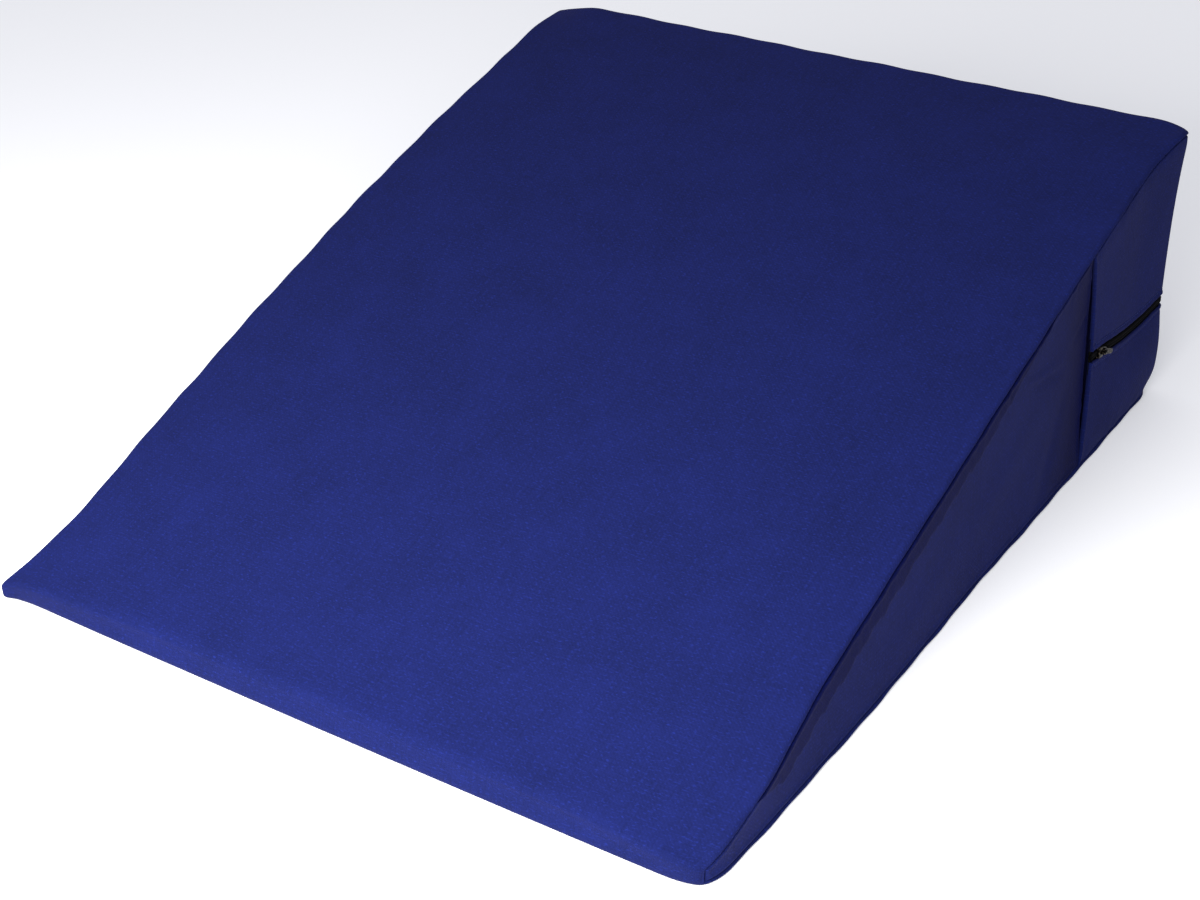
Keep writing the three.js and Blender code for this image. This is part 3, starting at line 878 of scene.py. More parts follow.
@dataclass
class FilledCushion:
    """The foam wedge in its main length of cloth: slope, nose and base, with its sewn edges."""

    ridge: float = 1.2 * MM
    ridge_width: float = 4.5 * MM
    ridge_wave: float = 41 * MM
    recess: float = -6.5 * MM
    lip: float = 2.1 * MM
    gap: float = 0.3 * MM
    pressure: float = 0.6
    most_swelling: float = 2.5 * MM
    last_frame: int = 20
    even_step: float = 8.5 * MM
    edge_stations: tuple[float, ...] = tuple(
        station * MM for station in (0, 0.8, 1.6, 2.1, 2.4, 5, 7.5, 11, 16, 24, 33, 42)
    )
    edge_layers: int = 6
    middle_layers: int = 4
    pucker: Pucker = Pucker()
    pucker_end: float = 40 * MM
    creases: tuple[Crease, ...] = (
        Crease(-7 * MM, -269 * MM, 70 * MM, 7 * MM, 4, 0.7 * MM),
        Crease(-150 * MM, 13 * MM, 60 * MM, 14 * MM, 12, -0.8 * MM),
        Crease(60 * MM, -255 * MM, 55 * MM, 9 * MM, -8, -0.6 * MM),
        Crease(236 * MM, -94 * MM, 16 * MM, 12 * MM, 70, 0.9 * MM),
        Crease(234 * MM, -155 * MM, 20 * MM, 12 * MM, 80, 1.0 * MM),
        Crease(225 * MM, -30 * MM, 40 * MM, 9 * MM, 30, -0.6 * MM),
        Crease(-215 * MM, -120 * MM, 45 * MM, 10 * MM, 60, -0.5 * MM),
        Crease(120 * MM, 210 * MM, 80 * MM, 16 * MM, 15, 0.7 * MM),
    )

    def stations(self, span: float) -> np.ndarray:
        """Places along a span, crowded at its two ends."""
        inset = self.edge_stations[-1]
        steps = round((span - 2 * inset) / self.even_step)
        middle = np.linspace(inset, span - inset, steps + 1)[1:-1]
        edge = np.array(self.edge_stations)
        return np.concatenate((edge, middle, span - edge[::-1])) - span / 2

    def grid_box(self, columns: int, rows: int, layers: int) -> bmesh.types.BMesh:
        """Makes a box of unit cells.

        Args:
            columns: Its cells along x.
            rows: Its cells along y.
            layers: Its cells along z.

        Returns:
            The box, with a corner at the origin.
        """
        box = bmesh.new()
        bmesh.ops.create_cube(box, size=1)
        bmesh.ops.translate(box, vec=(0.5, 0.5, 0.5), verts=box.verts)
        bmesh.ops.scale(box, vec=(columns, rows, layers), verts=box.verts)
        for axis, cells in enumerate((columns, rows, layers)):
            other = [place for place in range(3) if place != axis]
            along = []
            for edge in box.edges:
                way = edge.verts[1].co - edge.verts[0].co
                if all(abs(way[place]) < 1e-4 for place in other):
                    along.append(edge)
            bmesh.ops.subdivide_edges(box, edges=along, cuts=cells - 1, use_grid_fill=True)
        return box

    def layer_heights(self, layers: np.ndarray, y: np.ndarray, count: int) -> np.ndarray:
        """The height on the sharp wedge of each point's layer.

        Args:
            layers: Each point's layer.
            y: Its place along the depth.
            count: How many layers there are in all.

        Returns:
            The heights.
        """
        top = FORM.slope_height(y)
        edge = np.array(self.edge_stations[: self.edge_layers])
        from_top = count - layers
        low = edge[np.clip(layers, 0, len(edge) - 1)]
        high = top - edge[np.clip(from_top, 0, len(edge) - 1)]
        part = (layers - (len(edge) - 1)) / (count - 2 * (len(edge) - 1))
        middle = blend(edge[-1], top - edge[-1], part)
        return np.where(layers < len(edge), low, np.where(from_top < len(edge), high, middle))

    def uneven(self, along: np.ndarray) -> np.ndarray:
        """How strongly the seam's ridge stands up at places along it."""
        turns = 2 * math.pi * along / self.ridge_wave
        return 1 + 0.3 * np.sin(turns) + 0.2 * np.sin(turns * 0.37 + 1)

    def build(self) -> bpy.types.Object:
        """Makes the cushion, lets its cloth swell and shapes its seams."""
        xs = self.stations(FORM.width)
        ys = self.stations(FORM.depth)
        columns, rows = len(xs) - 1, len(ys) - 1
        layers = 2 * (self.edge_layers - 1) + self.middle_layers
        piece = new_piece(CUSHION, self.grid_box(columns, rows, layers))
        cells = np.rint(read_points(piece.data)).astype(int)
        x, y = xs[cells[:, 0]], ys[cells[:, 1]]
        z = self.layer_heights(cells[:, 2], y, layers)
        sharp = np.column_stack((x, y, z))

        on_side = (cells[:, 0] == 0) | (cells[:, 0] == columns)
        on_back = cells[:, 1] == rows
        on_top = cells[:, 2] == layers
        on_base = cells[:, 2] == 0
        from_side = FORM.half_width - np.abs(x)
        from_back = FORM.half_depth - y
        from_seam = np.minimum(from_side, from_back)
        below_edge = np.minimum(z, FORM.slope_height(y) - z)
        from_edge = np.where(on_side | on_back, below_edge, from_seam)
        lift = self.ridge * self.uneven(x + y) * np.exp(-((from_edge / self.ridge_width) ** 2))
        in_ditch = self.lip + self.gap / 2
        covered = (below_edge > in_ditch) & (y > in_ditch - FORM.half_depth)
        sunk = (on_side | on_back) & covered
        lift = np.where(sunk, self.recess, lift)
        rest = FORM.settle(FORM.skin(sharp, lift))
        rest[:, 2] = np.where(on_base, np.maximum(rest[:, 2], 0), rest[:, 2])
        write_points(piece.data, rest)
        add_cloth_map(piece.data, self.cloth_coordinates(piece.data, cells, sharp, (columns, rows, layers)))

        free = on_top | (cells[:, 1] == 0)
        free &= (from_seam > FORM.edge_radius) & ~on_base
        moved = rest
        moved = self.swell(piece, rest, np.flatnonzero(~free))
        relief = sum(crease.lift(x, y) for crease in self.creases)
        relief = relief + self.pucker.lift(y, from_side) * (from_side < self.pucker_end)
        moved[:, 2] += np.where(on_top, relief, 0)
        write_points(piece.data, moved)
        rounding = piece.modifiers.new("rounding", "SUBSURF")
        rounding.levels = rounding.render_levels = 1
        return piece

    def cloth_coordinates(
        self, mesh: bpy.types.Mesh, cells: np.ndarray, sharp: np.ndarray, counts: tuple[int, int, int]
    ) -> np.ndarray:
        """Works out the cloth map of the box of cells.

        Args:
            mesh: The box's mesh, all quads.
            cells: Each vertex's column, row and layer.
            sharp: Each vertex's place on the sharp wedge.
            counts: How many columns, rows and layers there are.

        Returns:
            A row for each face corner: metres across the cloth and along it.
        """
        corners = faces_by_corner(mesh)
        quads = corners.reshape(-1, 4)

        def whole_face(axis: int, value: int) -> np.ndarray:
            """Says which corners belong to a face that lies in one layer of cells."""
            return np.repeat((cells[quads, axis] == value).all(1), 4)

        x, y, z = sharp[corners].T
        slope_length = math.hypot(FORM.depth, FORM.back_height - FORM.nose_height)
        cloth = np.column_stack((x, (FORM.half_depth - y) / FORM.depth * slope_length))
        front = whole_face(1, 0)
        cloth[front, 1] = slope_length + FORM.nose_height - z[front]
        base = whole_face(2, 0)
        cloth[base, 1] = slope_length + FORM.nose_height + y[base] + FORM.half_depth
        for side in (whole_face(0, 0), whole_face(0, counts[0])):
            cloth[side] = np.column_stack((y[side], z[side]))
        back = whole_face(1, counts[1])
        cloth[back] = np.column_stack((x[back], z[back]))
        return cloth

    def swell(self, piece: bpy.types.Object, rest: np.ndarray, pinned: np.ndarray) -> np.ndarray:
        """Lets air pressure fill the slope and nose between their seams.

        Args:
            piece: The cushion at rest.
            rest: Its points.
            pinned: The vertices that stay, which are sewn, hidden or on the floor.

        Returns:
            The points after the cloth has settled.
        """
        group = piece.vertex_groups.new(name="sewn")
        group.add([int(index) for index in pinned], 1.0, "REPLACE")
        filling = piece.modifiers.new("filling", "CLOTH")
        cloth = filling.settings
        cloth.quality = 6
        cloth.mass = 0.2
        cloth.tension_stiffness = cloth.compression_stiffness = 30
        cloth.shear_stiffness = 12
        cloth.bending_stiffness = 1.5
        cloth.use_pressure = True
        cloth.uniform_pressure_force = self.pressure
        cloth.vertex_group_mass = group.name
        cloth.effector_weights.gravity = 0
        filling.collision_settings.use_collision = False
        filling.point_cache.frame_start = 1
        filling.point_cache.frame_end = self.last_frame
        scene = bpy.context.scene
        for number in range(1, self.last_frame + 1):
            scene.frame_set(number)
        settled = piece.evaluated_get(bpy.context.evaluated_depsgraph_get())
        move = read_points(settled.data) - rest
        scene.frame_set(1)
        piece.modifiers.remove(filling)
        distance = np.linalg.norm(move, axis=1, keepdims=True)
        LOG.info("the cloth swells by up to %.1f mm", distance.max() / MM)
        move *= self.most_swelling / np.maximum(distance, self.most_swelling)
        return rest + move

    def dress(self, finishes: Finishes) -> list[bpy.types.Object]:
        """Builds and dresses the cushion.

        Args:
            finishes: The pillow's materials.

        Returns:
            Its one piece.
        """
        piece = self.build()
        dress(piece, finishes.cotton, ["filled_wedge"])
        return [piece]


@dataclass
class SidePanel:
    """A tapered side panel, sewn in from the nose to the upright seam."""

    side: Side
    columns: int = 260
    rows: int = 66
    crowding: float = 0.86
    cloth: float = 1.2 * MM
    face: float = -0.6 * MM
    margin: float = 0.3 * MM
    roll: float = 1.5 * MM
    end_roll: float = 0.8 * MM
    tuck: float = -3.2 * MM
    end_tuck: float = 0.6 * MM
    welt: float = 0.5 * MM
    welt_at: float = 2.2 * MM
    welt_width: float = 1.7 * MM
    dip: float = 3.4 * MM
    dip_reach: float = 26 * MM
    # Painted shade ahead of the upright seam: how far back it reaches and how strong it is.
    upright_shade_reach: float = 80 * MM
    upright_shade_share: float = 1.2
    full_height: float = 60 * MM
    crease_end: float = 8 * MM
    pucker: Pucker = Pucker(height=0.35 * MM, spacing=17 * MM)
    hem: PressedHem = PressedHem()
    creases: tuple[Crease, ...] = (
        Crease(102 * MM, 104 * MM, 20 * MM, 3 * MM, -14, 1.5 * MM),
        Crease(104 * MM, 98 * MM, 22 * MM, 3 * MM, -14, -1.2 * MM),
        Crease(159 * MM, 112 * MM, 12 * MM, 2.6 * MM, 12, 1.5 * MM),
        Crease(158 * MM, 106 * MM, 14 * MM, 3.2 * MM, 14, -1.2 * MM),
        Crease(60 * MM, 60 * MM, 70 * MM, 14 * MM, 22, 0.8 * MM),
        Crease(-60 * MM, 30 * MM, 60 * MM, 12 * MM, 14, 0.7 * MM),
        Crease(120 * MM, 40 * MM, 40 * MM, 9 * MM, 65, -0.8 * MM),
    )

    @property
    def node(self) -> str:
        """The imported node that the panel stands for."""
        return f"side_panel_{self.side.name.lower()}"

    def top(self, y: np.ndarray) -> np.ndarray:
        """The height of the panel's upper edge at places along it."""
        return FORM.sewn_top(y) - self.margin

    def lift(self, y: np.ndarray, z: np.ndarray) -> np.ndarray:
        """The panel's height above the form at places on it."""
        below = self.top(y) - z
        above = z - FORM.seam_inset - self.margin
        behind = y - (FORM.seam_inset + self.margin - FORM.half_depth)
        ahead = FORM.seam_y - y
        edge = np.minimum(np.minimum(below, above), np.minimum(behind, ahead))
        room = np.clip((below + above) / self.full_height, 0, 1)
        lift = self.face + self.hem.lift(y, below)
        lift += self.welt * np.exp(-(((edge - self.welt_at) / self.welt_width) ** 2))
        up = z / FORM.slope_height(FORM.seam_y)
        lift -= self.dip * np.exp(-((ahead / self.dip_reach) ** 2)) * bulge(up)
        lift += self.pucker.lift(y, below) * room + self.pucker.lift(z, ahead)
        lift += sum(crease.lift(y, z) for crease in self.creases) * (1 - nearness(edge, self.crease_end))
        sewn = np.minimum(np.minimum(below, above), behind)
        return lift + np.minimum(rolled(sewn, self.roll), rolled(ahead, self.end_roll))

    def painted_shade_amount(self, y: np.ndarray, z: np.ndarray) -> np.ndarray:
        """Says how much painted shade darkens the panel at places on it.

        Args:
            y: Places along the panel.
            z: The heights.

        Returns:
            Millimetres inside the pressed hem, where a band of painted shade lies under the slope's
            seam, or the share of painted shade that fades back from the upright seam, less a half.
        """
        # Painted shade: the panel's cloth darkens towards the upright seam, standing in for the shade of
        # its dip there.
        upright = self.upright_shade_share * nearness(FORM.seam_y - y, self.upright_shade_reach)
        return np.maximum(self.hem.inside(y, self.top(y) - z) / MM, upright - 0.5)

    def build(self) -> bpy.types.Object:
        """Makes the panel's single layer of cloth and thickens it."""
        start = FORM.seam_inset + self.margin
        ys = crowded(start - FORM.half_depth, FORM.seam_y - self.margin, self.columns)
        if self.side is Side.LEFT:
            ys = ys[::-1]
        shares = crowded(0, 1, self.rows, self.crowding)
        painted_shade_amount = []

        def place(y: np.ndarray, share: np.ndarray) -> tuple[np.ndarray, np.ndarray]:
            """Puts each point of the grid on the side of the form."""
            up = shares[np.rint(share * self.rows).astype(int)]
            z = blend(start, self.top(y), up)
            lift = self.lift(y, z)
            at_edge = (y <= ys.min()) | (y >= ys.max()) | (up <= 0) | (up >= 1)
            lift = np.where(at_edge, np.minimum(self.tuck, lift - self.end_tuck), lift)
            painted_shade_amount.append(self.painted_shade_amount(y, z))
            return FORM.on_side(self.side, y, z, lift), np.column_stack((self.side.value * y, z))

        piece = lay_sheet(f"panel_{self.side.name.lower()}", ys, self.rows, place)
        # The painted shade goes into the hem shade map for the material.
        layer = piece.data.attributes.new(HEM_SHADE_MAP, "FLOAT", "POINT")
        layer.data.foreach_set("value", painted_shade_amount[0].astype(np.float32))
        thicken(piece, self.cloth)
        return piece

    def dress(self, finishes: Finishes) -> list[bpy.types.Object]:
        """Builds and dresses the panel.

        Args:
            finishes: The pillow's materials.

        Returns:
            Its one piece.
        """
        piece = self.build()
        dress(piece, finishes.cotton_with_painted_shade, [self.node])
        return [piece]


@dataclass(frozen=True)
class ZipPlan:
    """Where the zip lies on the back band."""

    height: float = FORM.zip_height
    opening: float = 8 * MM
    tape_reach: float = 13 * MM
    tape_split: float = 0.8 * MM
    end_gap: float = 0.15 * MM

    @property
    def fold_top(self) -> float:
        """The height of the upper strip's folded edge."""
        return self.height + self.opening / 2

    @property
    def fold_bottom(self) -> float:
        """The height of the lower strip's folded edge."""
        return self.height - self.opening / 2


ZIP = ZipPlan()


def band_runs() -> np.ndarray:
    """Stations along the zip band, crowded at its ends and round both back corners."""
    start, end = ZIP.end_gap, FORM.band_length - ZIP.end_gap
    first, last = FORM.band_wrap, FORM.band_length - FORM.band_wrap
    side_steps, side_crowding = 70, 0.86
    back_steps, back_crowding = 170, 0.93
    before = crowded(start, first, side_steps, side_crowding)[:-1]
    across = crowded(first, last, back_steps, back_crowding)[:-1]
    return np.concatenate((before, across, crowded(last, end, side_steps, side_crowding)))


class StripPlace(Enum):
    """Which side of the zip a strip is on."""

    UPPER = "upper"
    LOWER = "lower"


@dataclass
class ZipStrip:
    """One strip of the back band, from its folded edge at the zip to the seam above or below."""

    place: StripPlace
    rows: int = 48
    crowding: float = 0.85
    cloth: float = 1.2 * MM
    face: float = 0.6 * MM
    fold: float = 0.7 * MM
    fold_width: float = 3 * MM
    stitch_at: float = 4.2 * MM
    stitch_pull: float = 0.45 * MM
    stitch_width: float = 1.1 * MM
    roll: float = 1.4 * MM
    end_roll: float = 0.9 * MM
    tuck: float = -1.9 * MM
    over_tape: float = 0.2 * MM
    proud: float = 0.15 * MM
    proud_width: float = 3 * MM
    margin: float = 0.3 * MM
    sewn_dip: float = 0.8 * MM
    sewn_dip_width: float = 5 * MM
    belly: float = 3.3 * MM
    belly_at: float = 86 * MM
    belly_reach: float = 60 * MM
    pucker: Pucker = Pucker(height=0.3 * MM, spacing=19 * MM)
    fold_pucker: Pucker = Pucker(height=0.22 * MM, spacing=13 * MM, reach=8 * MM)

    @property
    def fold_height(self) -> float:
        """The height of the strip's folded edge."""
        return ZIP.fold_top if self.place is StripPlace.UPPER else ZIP.fold_bottom

    def sewn_height(self, y: np.ndarray) -> np.ndarray:
        """The height of the strip's sewn edge."""
        if self.place is StripPlace.UPPER:
            return FORM.sewn_top(y) - self.margin
        return np.full_like(y, FORM.seam_inset + self.margin)

    def lift(self, run: np.ndarray, z: np.ndarray, sewn: np.ndarray) -> np.ndarray:
        """The strip's height above the form at places on it."""
        from_fold = np.abs(z - self.fold_height)
        from_sewn = np.abs(z - sewn)
        from_end = np.minimum(run, FORM.band_length - run)
        lift = self.face + self.fold * np.exp(-((from_fold / self.fold_width) ** 2))
        lift -= self.stitch_pull * np.exp(-(((from_fold - self.stitch_at) / self.stitch_width) ** 2))
        lift += self.proud * np.exp(-((from_end / self.proud_width) ** 2))
        lift -= self.sewn_dip * np.exp(-((from_sewn / self.sewn_dip_width) ** 2))
        belly = self.belly * np.exp(-(((from_end - self.belly_at) / self.belly_reach) ** 2))
        if self.place is StripPlace.LOWER:
            lift += belly * bulge(from_fold / np.maximum(from_fold + from_sewn, MM)) ** 1.5
        lift += self.pucker.lift(run, from_sewn) + self.fold_pucker.lift(run, from_fold)
        return lift + rolled(np.minimum(from_fold, from_sewn), self.roll) + rolled(from_end, self.end_roll)

    def build(self) -> bpy.types.Object:
        """Makes the strip's single layer of cloth and thickens it."""
        runs = band_runs()
        shares = crowded(0, 1, self.rows, self.crowding)
        upper = self.place is StripPlace.UPPER

        def place(run: np.ndarray, share: np.ndarray) -> tuple[np.ndarray, np.ndarray]:
            """Puts each point of the grid on the back band."""
            up = shares[np.rint(share * self.rows).astype(int)]
            sewn = self.sewn_height(FORM.band_point(run, np.zeros_like(run))[:, 1])
            z = blend(self.fold_height, sewn, up) if upper else blend(sewn, self.fold_height, up)
            lift = self.lift(run, z, sewn)
            at_fold = up <= 0 if upper else up >= 1
            at_seam = up >= 1 if upper else up <= 0
            at_end = (run <= runs[0]) | (run >= runs[-1])
            lift = np.where(at_seam | at_end, self.tuck, lift)
            lift = np.where(at_fold, np.minimum(lift, self.over_tape), lift)
            return FORM.on_band(run, z, lift), np.column_stack((run, z))

        piece = lay_sheet(f"strip_{self.place.value}", runs, self.rows, place)
        thicken(piece, self.cloth)
        return piece

    def dress(self, finishes: Finishes) -> list[bpy.types.Object]:
        """Builds and dresses the strip.

        Args:
            finishes: The pillow's materials.

        Returns:
            Its one piece.
        """
        piece = self.build()
        dress(piece, finishes.cotton, [f"zip_strip_{self.place.value}"])
        return [piece]


@dataclass
class ZipTapes:
    """The two woven tapes that carry the coil, under the strips' folded edges."""

    rows: int = 6
    cloth: float = 0.8 * MM
    top: float = -1.1 * MM

    def build(self, place: StripPlace) -> bpy.types.Object:
        """Makes one tape.

        Args:
            place: Which side of the zip it is on.

        Returns:
            The tape.
        """
        upper = place is StripPlace.UPPER
        near, far = ZIP.tape_split / 2, ZIP.tape_reach
        low = ZIP.height + near if upper else ZIP.height - far

        def lay(run: np.ndarray, share: np.ndarray) -> tuple[np.ndarray, np.ndarray]:
            """Puts each point of the grid on the back band."""
            z = low + (far - near) * share
            return FORM.on_band(run, z, np.full_like(run, self.top)), np.column_stack((run, z))

        piece = lay_sheet(f"tape_{place.value}", band_runs(), self.rows, lay)
        thicken(piece, self.cloth)
        return piece

    def dress(self, finishes: Finishes) -> list[bpy.types.Object]:
        """Builds and dresses both tapes.

        Args:
            finishes: The pillow's materials.

        Returns:
            The two pieces.
        """
        pieces = []
        for place in StripPlace:
            piece = self.build(place)
            dress(piece, finishes.tape, [f"zip_tape_{place.value}"])
            pieces.append(piece)
        return pieces


def turn_about(shape: bmesh.types.BMesh, axis: str, degrees: float) -> None:
    """Turns a shape about an axis through its origin."""
    turn = Matrix.Rotation(math.radians(degrees), 3, axis)
    bmesh.ops.rotate(shape, cent=(0, 0, 0), matrix=turn, verts=shape.verts)


def verts_of(made: Sequence[object]) -> list[bmesh.types.BMVert]:
    """Picks the vertices from what a bmesh operator made."""
    return [item for item in made if isinstance(item, bmesh.types.BMVert)]


def lay_on_band(piece: bpy.types.Object) -> None:
    """Takes a piece drawn flat, as run, height and lift, onto the back band."""
    flat = read_points(piece.data)
    write_points(piece.data, FORM.on_band(flat[:, 0], flat[:, 1], flat[:, 2]))


def repeated(name: str, one: bmesh.types.BMesh, places: Sequence[Matrix]) -> bpy.types.Object:
    """Joins many copies of a small shape in one piece.

    Args:
        name: The piece's name.
        one: The shape, which is freed.
        places: Where each copy goes.

    Returns:
        The joined piece.
    """
    single = bpy.data.meshes.new(f"{name}_single")
    one.to_mesh(single)
    one.free()
    joined = bmesh.new()
    for place in places:
        before = len(joined.verts)
        joined.from_mesh(single)
        joined.verts.ensure_lookup_table()
        bmesh.ops.transform(joined, matrix=place, verts=joined.verts[before:])
    bpy.data.meshes.remove(single)
    return new_piece(name, joined)


@dataclass
class ZipCoil:
    """The closed chain: nylon turns that hook into each other from both sides."""

    pitch: float = 1.3 * MM
    wire: float = 0.85 * MM
    reach: float = 2.4 * MM
    overlap: float = 0.7 * MM
    base: float = -0.8 * MM
    crest: float = 0.7 * MM
    steepness: float = 1.12
    squareness: float = 0.6
    bend_steps: int = 7
    sides: int = 6

    def turn(self) -> bmesh.types.BMesh:
        """Makes one turn, from the tape up over its crest and down past the middle."""
        shape = bmesh.new()
        ring = bmesh.ops.create_circle(shape, segments=self.sides, radius=self.wire / 2)["verts"]
        turn_about(shape, "X", 90)
        span = self.reach + self.overlap
        rise = self.crest - self.base - self.wire / 2
        start = Vector((0, -self.reach, self.base))
        bmesh.ops.translate(shape, vec=start, verts=ring)
        edges = list(shape.edges)
        previous = start
        for step in range(1, self.bend_steps + 1):
            part = step / self.bend_steps
            arch = math.sin(math.pi * min(part * self.steepness, 1)) ** self.squareness
            here = Vector((0, span * part - self.reach, self.base + rise * arch))
            made = bmesh.ops.extrude_edge_only(shape, edges=edges)["geom"]
            edges = [item for item in made if isinstance(item, bmesh.types.BMEdge)]
            bmesh.ops.translate(shape, vec=here - previous, verts=verts_of(made))
            previous = here
        bmesh.ops.holes_fill(shape, edges=shape.edges, sides=self.sides)
        bmesh.ops.recalc_face_normals(shape, faces=shape.faces)
        return shape

    def build(self) -> bpy.types.Object:
        """Makes the whole chain, flat, and lays it on the band."""
        places = []
        count = int((FORM.band_length - 2 * ZIP.end_gap) / self.pitch)
        for number in range(count):
            run = self.pitch * (number + 0.5) + ZIP.end_gap
            at_height = Matrix.Translation((run, ZIP.height, 0))
            places.append(at_height)
            opposite = Matrix.Rotation(math.pi, 4, "Z")
            places.append(Matrix.Translation((self.pitch / 2, 0, 0)) @ at_height @ opposite)
        piece = repeated("coil", self.turn(), places)
        lay_on_band(piece)
        return piece

    def dress(self, finishes: Finishes) -> list[bpy.types.Object]:
        """Builds and dresses the chain.

        Args:
            finishes: The pillow's materials.

        Returns:
            Its one piece.
        """
        piece = self.build()
        dress(piece, finishes.nylon, ["zip_coil"])
        return [piece]


@dataclass
class StitchRows:
    """The sewing: topstitched rows on both strips, and the thread that shows in the seams."""

    stitch: float = 2.7 * MM
    spacing: float = 3.3 * MM
    thread: float = 0.45 * MM
    from_fold: float = 4.2 * MM
    lift: float = 0.55 * MM
    in_seam: float = 2.7 * MM
    seam_lift: float = -0.6 * MM
    seam_end: float = 8 * MM

    def one(self) -> bmesh.types.BMesh:
        """Makes one stitch, lying along x."""
        shape = bmesh.new()
        bmesh.ops.create_uvsphere(shape, u_segments=6, v_segments=5, radius=0.5)
        turn_about(shape, "Y", 90)
        bmesh.ops.scale(shape, vec=(self.stitch, self.thread, self.thread), verts=shape.verts)
        return shape

    def dress(self, finishes: Finishes) -> list[bpy.types.Object]:
        """Builds and dresses the rows.

        Args:
            finishes: The pillow's materials.

        Returns:
            The pieces.
        """
        pieces = [self.topstitch(place) for place in StripPlace]
        pieces += [self.side_seam(side) for side in Side]
        pieces.append(self.back_seam())
        for piece in pieces:
            dress(piece, finishes.thread)
        return pieces

    def topstitch(self, place: StripPlace) -> bpy.types.Object:
        """Sews the row along one strip's folded edge."""
        upper = place is StripPlace.UPPER
        height = ZIP.fold_top + self.from_fold if upper else ZIP.fold_bottom - self.from_fold
        count = int((FORM.band_length - 4 * self.spacing) / self.spacing)
        runs = [self.spacing * (number + 2) for number in range(count)]
        places = [Matrix.Translation((run, height, self.lift)) for run in runs]
        piece = repeated(f"topstitch_{place.value}", self.one(), places)
        lay_on_band(piece)
        return piece

    def side_seam(self, side: Side) -> bpy.types.Object:
        """Sews the seam between the slope and one side, from the nose to the back corner."""
        start, end = self.seam_end - FORM.half_depth, FORM.half_depth - self.seam_end
        ys = np.arange(start, end, self.spacing)
        rise = math.atan2(FORM.back_height - FORM.nose_height, FORM.depth)
        lean = Matrix.Rotation(rise, 4, "Z")
        heights = FORM.slope_height(ys) - self.in_seam
        places = [Matrix.Translation((y, z, self.seam_lift)) @ lean for y, z in zip(ys, heights)]
        piece = repeated(f"seam_thread_{side.name.lower()}", self.one(), places)
        flat = read_points(piece.data)
        x = np.full(len(flat), side.value * FORM.half_width)
        sharp = np.column_stack((x, flat[:, 0], flat[:, 1]))
        write_points(piece.data, FORM.settle(FORM.skin(sharp, flat[:, 2])))
        return piece

    def back_seam(self) -> bpy.types.Object:
        """Sews the seam between the slope and the upper strip, across the back."""
        height = FORM.back_height - self.in_seam
        start, end = FORM.band_wrap + self.seam_end, FORM.band_wrap + FORM.width - self.seam_end
        runs = np.arange(start, end, self.spacing)
        places = [Matrix.Translation((run, height, self.seam_lift)) for run in runs]
        piece = repeated("seam_thread_back", self.one(), places)
        lay_on_band(piece)
        return piece


